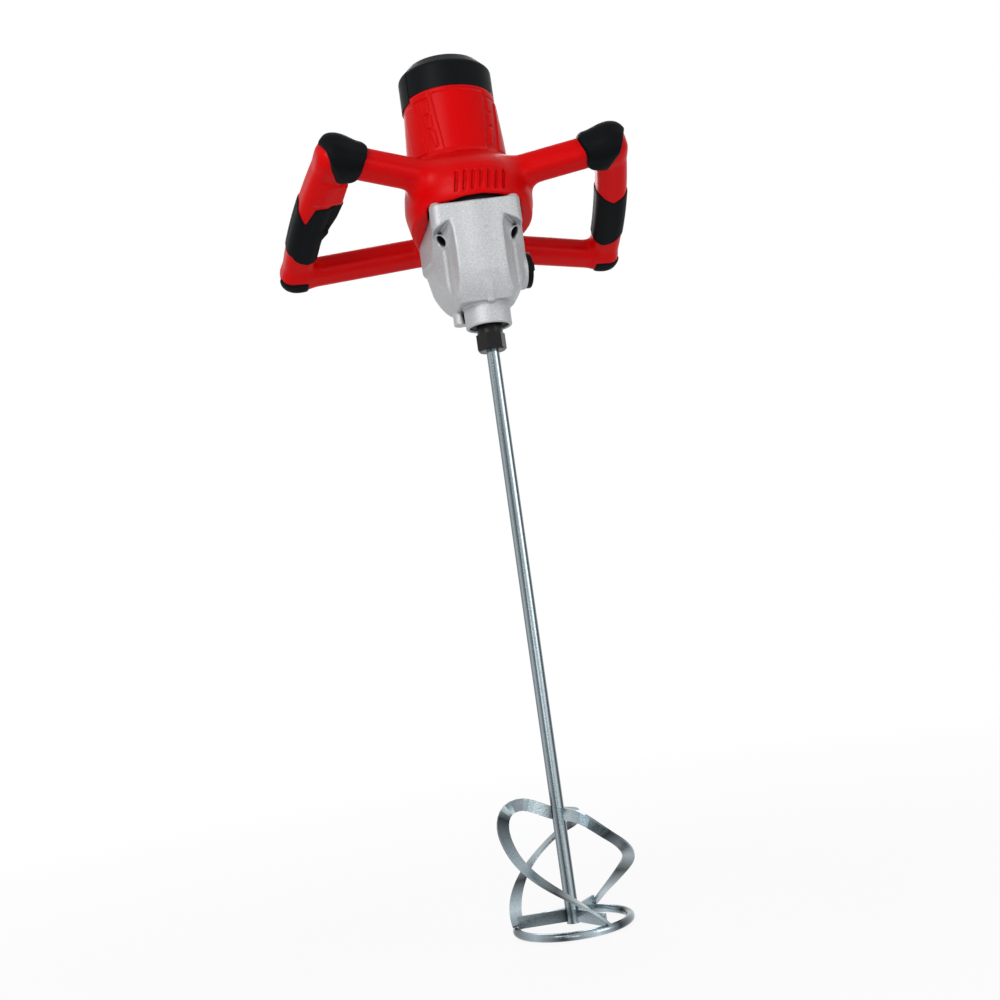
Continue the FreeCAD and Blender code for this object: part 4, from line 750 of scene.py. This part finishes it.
def case_extras(x, y, z, body):
    across, ahead = panel_places(x, y)
    ends = np.maximum(rib_span[0] - z, z - rib_span[1])
    rib = np.maximum(np.abs(across - rib_shift) - rib_half, ends)
    rise = rib_rise * np.clip((rib_span[1] - z) / rib_fade, 0, 1)
    rib = np.maximum(smooth_max(rib, body - rise, edge_soft), -ahead)
    middle = boss_face / 2
    boss = np.hypot(y - selector_y, z - selector_z) - boss_radius
    boss = np.maximum(boss, np.abs(x - middle) - middle)
    turn = math.radians(lug_angle)
    lug = np.hypot(x - lug_out * math.cos(turn), y - lug_out * math.sin(turn)) - lug_radius
    lug = np.maximum(lug, np.abs(z - case_nose) - lug_drop)
    ear = np.hypot(np.abs(across) - ear_spot[0], ahead - ear_spot[1]) - ear_radius
    ear = np.maximum(ear, np.abs(z - case_top) - ear_rise)
    return rib, boss, lug, ear


def case_outside(x, y, z):
    body = smooth_max(case_block(x, y, z), -flute_field(x, y, z), edge_soft)
    pocket, rim = pocket_field(x, y, z)
    body = smooth_max(smooth_min(body, rim, rim_soft), -pocket, rim_soft)
    for extra in case_extras(x, y, z, body):
        body = smooth_min(body, extra, edge_soft)
    around = np.hypot(x, y)
    half = case_nose / 2
    nose = rounded_pair(around - nose_radius, np.abs(z - half) - half, nose_round)
    groove = np.abs(around - nose_radius) - nose_groove
    groove = np.maximum(np.abs(z - case_nose) - nose_groove / 2, groove)
    return np.maximum(smooth_min(body, nose, edge_soft), -groove)


def add_gear_case():
    axes = grid_axes(*node_span(["gear_case"]), piece_step)
    x, y, z = grid_places(axes)
    field = np.maximum(case_outside(x, y, z), -case_rooms(x, y, z))
    skin_piece("cast_case", field, axes, "cast_aluminium", ["gear_case"])


def node_span(names):
    boxes = [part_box(name) for name in names]
    low = np.min([list(box[0]) for box in boxes], axis=0)
    high = np.max([list(box[1]) for box in boxes], axis=0)
    return low / metres, high / metres


# Every CAD node takes its slot's finish and smooth shading across soft edges
def dress_nodes():
    for part in record["subparts"]:
        obj = nodes[part["node"]]
        obj.data.materials.clear()
        obj.data.materials.append(materials[part["material_slot"]])
        obj.data.shade_smooth()
        obj.data.set_sharp_from_angle(angle=math.radians(sharp_angle))


# Rays that see the white background: from the camera, off metal, through glass
def white_rays(tree):
    path = tree.nodes.new("ShaderNodeLightPath")
    total = path.outputs["Is Camera Ray"]
    for name in ("Is Glossy Ray", "Is Transmission Ray"):
        either = tree.nodes.new("ShaderNodeMath")
        either.operation = "MAXIMUM"
        tree.links.new(total, either.inputs[0])
        tree.links.new(path.outputs[name], either.inputs[1])
        total = either.outputs["Value"]
    return total


# The floor's white part grows with the distance from the object
def white_share(tree):
    place = tree.nodes.new("ShaderNodeTexCoord")
    away = tree.nodes.new("ShaderNodeVectorMath")
    away.operation = "LENGTH"
    grown = tree.nodes.new("ShaderNodeMapRange")
    for name, value in zip(("From Min", "From Max"), floor_white_reach):
        grown.inputs[name].default_value = value
    for name, value in zip(("To Min", "To Max"), floor_white_shares):
        grown.inputs[name].default_value = value
    tree.links.new(place.outputs["Object"], away.inputs[0])
    tree.links.new(away.outputs["Value"], grown.inputs["Value"])
    return grown.outputs["Result"]


# A pale floor that looks white but keeps a soft shadow
def floor_material():
    made = bpy.data.materials.new("pale_floor")
    made.use_nodes = True
    tree = made.node_tree
    shader = tree.nodes["Principled BSDF"]
    shader.inputs["Base Color"].default_value = (*floor_colour, 1)
    shader.inputs["Roughness"].default_value = floor_rough
    shader.inputs["Specular IOR Level"].default_value = 0.0
    white = tree.nodes.new("ShaderNodeEmission")
    white.inputs["Color"].default_value = pure_white
    share = tree.nodes.new("ShaderNodeMath")
    share.operation = "MULTIPLY"
    mix = tree.nodes.new("ShaderNodeMixShader")
    tree.links.new(white_rays(tree), share.inputs[0])
    tree.links.new(white_share(tree), share.inputs[1])
    tree.links.new(share.outputs["Value"], mix.inputs["Fac"])
    tree.links.new(shader.outputs["BSDF"], mix.inputs[1])
    tree.links.new(white.outputs["Emission"], mix.inputs[2])
    tree.links.new(mix.outputs["Shader"], tree.nodes["Material Output"].inputs["Surface"])
    return made


def add_floor():
    low = first_low.z - floor_gap
    half = floor_size / 2
    mesh = bpy.data.meshes.new("floor")
    corners = [(-half, -half, 0), (half, -half, 0), (half, half, 0), (-half, half, 0)]
    mesh.from_pydata(corners, [], [(0, 1, 2, 3)])
    floor = bpy.data.objects.new("floor", mesh)
    floor.location.z = low
    bpy.context.scene.collection.objects.link(floor)
    mesh.materials.append(floor_material())


def add_world():
    world = bpy.data.worlds.new("studio")
    bpy.context.scene.world = world
    world.use_nodes = True
    tree = world.node_tree
    soft = tree.nodes["Background"]
    soft.inputs["Color"].default_value = (*sky_colour, 1)
    soft.inputs["Strength"].default_value = sky_strength
    white = tree.nodes.new("ShaderNodeBackground")
    white.inputs["Color"].default_value = pure_white
    mix = tree.nodes.new("ShaderNodeMixShader")
    tree.links.new(white_rays(tree), mix.inputs["Fac"])
    tree.links.new(soft.outputs["Background"], mix.inputs[1])
    tree.links.new(white.outputs["Background"], mix.inputs[2])
    tree.links.new(mix.outputs["Shader"], tree.nodes["World Output"].inputs["Surface"])


def add_light(name, place, aim, size, power):
    data = bpy.data.lights.new(name, "AREA")
    data.shape = "DISK"
    data.size = size
    data.energy = power
    light = bpy.data.objects.new(name, data)
    light.location = place
    light.rotation_mode = "QUATERNION"
    light.rotation_quaternion = (Vector(aim) - Vector(place)).to_track_quat("-Z", "Y")
    bpy.context.scene.collection.objects.link(light)


def add_lights():
    for light in lights:
        add_light(*light)


def add_camera():
    a, p, r = (math.radians(v) for v in (camera_azimuth, camera_pitch, camera_roll))
    right = Vector((math.cos(a), math.sin(a), 0))
    ahead = Vector((-math.sin(a) * math.cos(p), math.cos(a) * math.cos(p), math.sin(p)))
    up = right.cross(ahead)
    side = right * math.cos(r) + up * math.sin(r)
    top = up * math.cos(r) - right * math.sin(r)
    data = bpy.data.cameras.new("camera")
    data.lens = camera_lens
    data.sensor_width = camera_sensor
    data.shift_x, data.shift_y = camera_shift
    data.clip_start, data.clip_end = camera_clip
    camera = bpy.data.objects.new("camera", data)
    turn = Matrix((side, top, -ahead)).transposed().to_4x4()
    spot = Vector((math.sin(a) * camera_distance, -math.cos(a) * camera_distance, camera_height))
    camera.matrix_world = Matrix.Translation(spot) @ turn
    bpy.context.scene.collection.objects.link(camera)
    bpy.context.scene.camera = camera


dress_nodes()
add_red_shell()
add_tube()
for side in ("left", "right"):
    add_sleeve(side)
    add_upper_bumper(side)
    add_lower_bumper(side)
add_trigger()
add_gear_case()
add_floor()
add_world()
add_lights()
add_camera()
bpy.context.scene.view_settings.view_transform = "Standard"
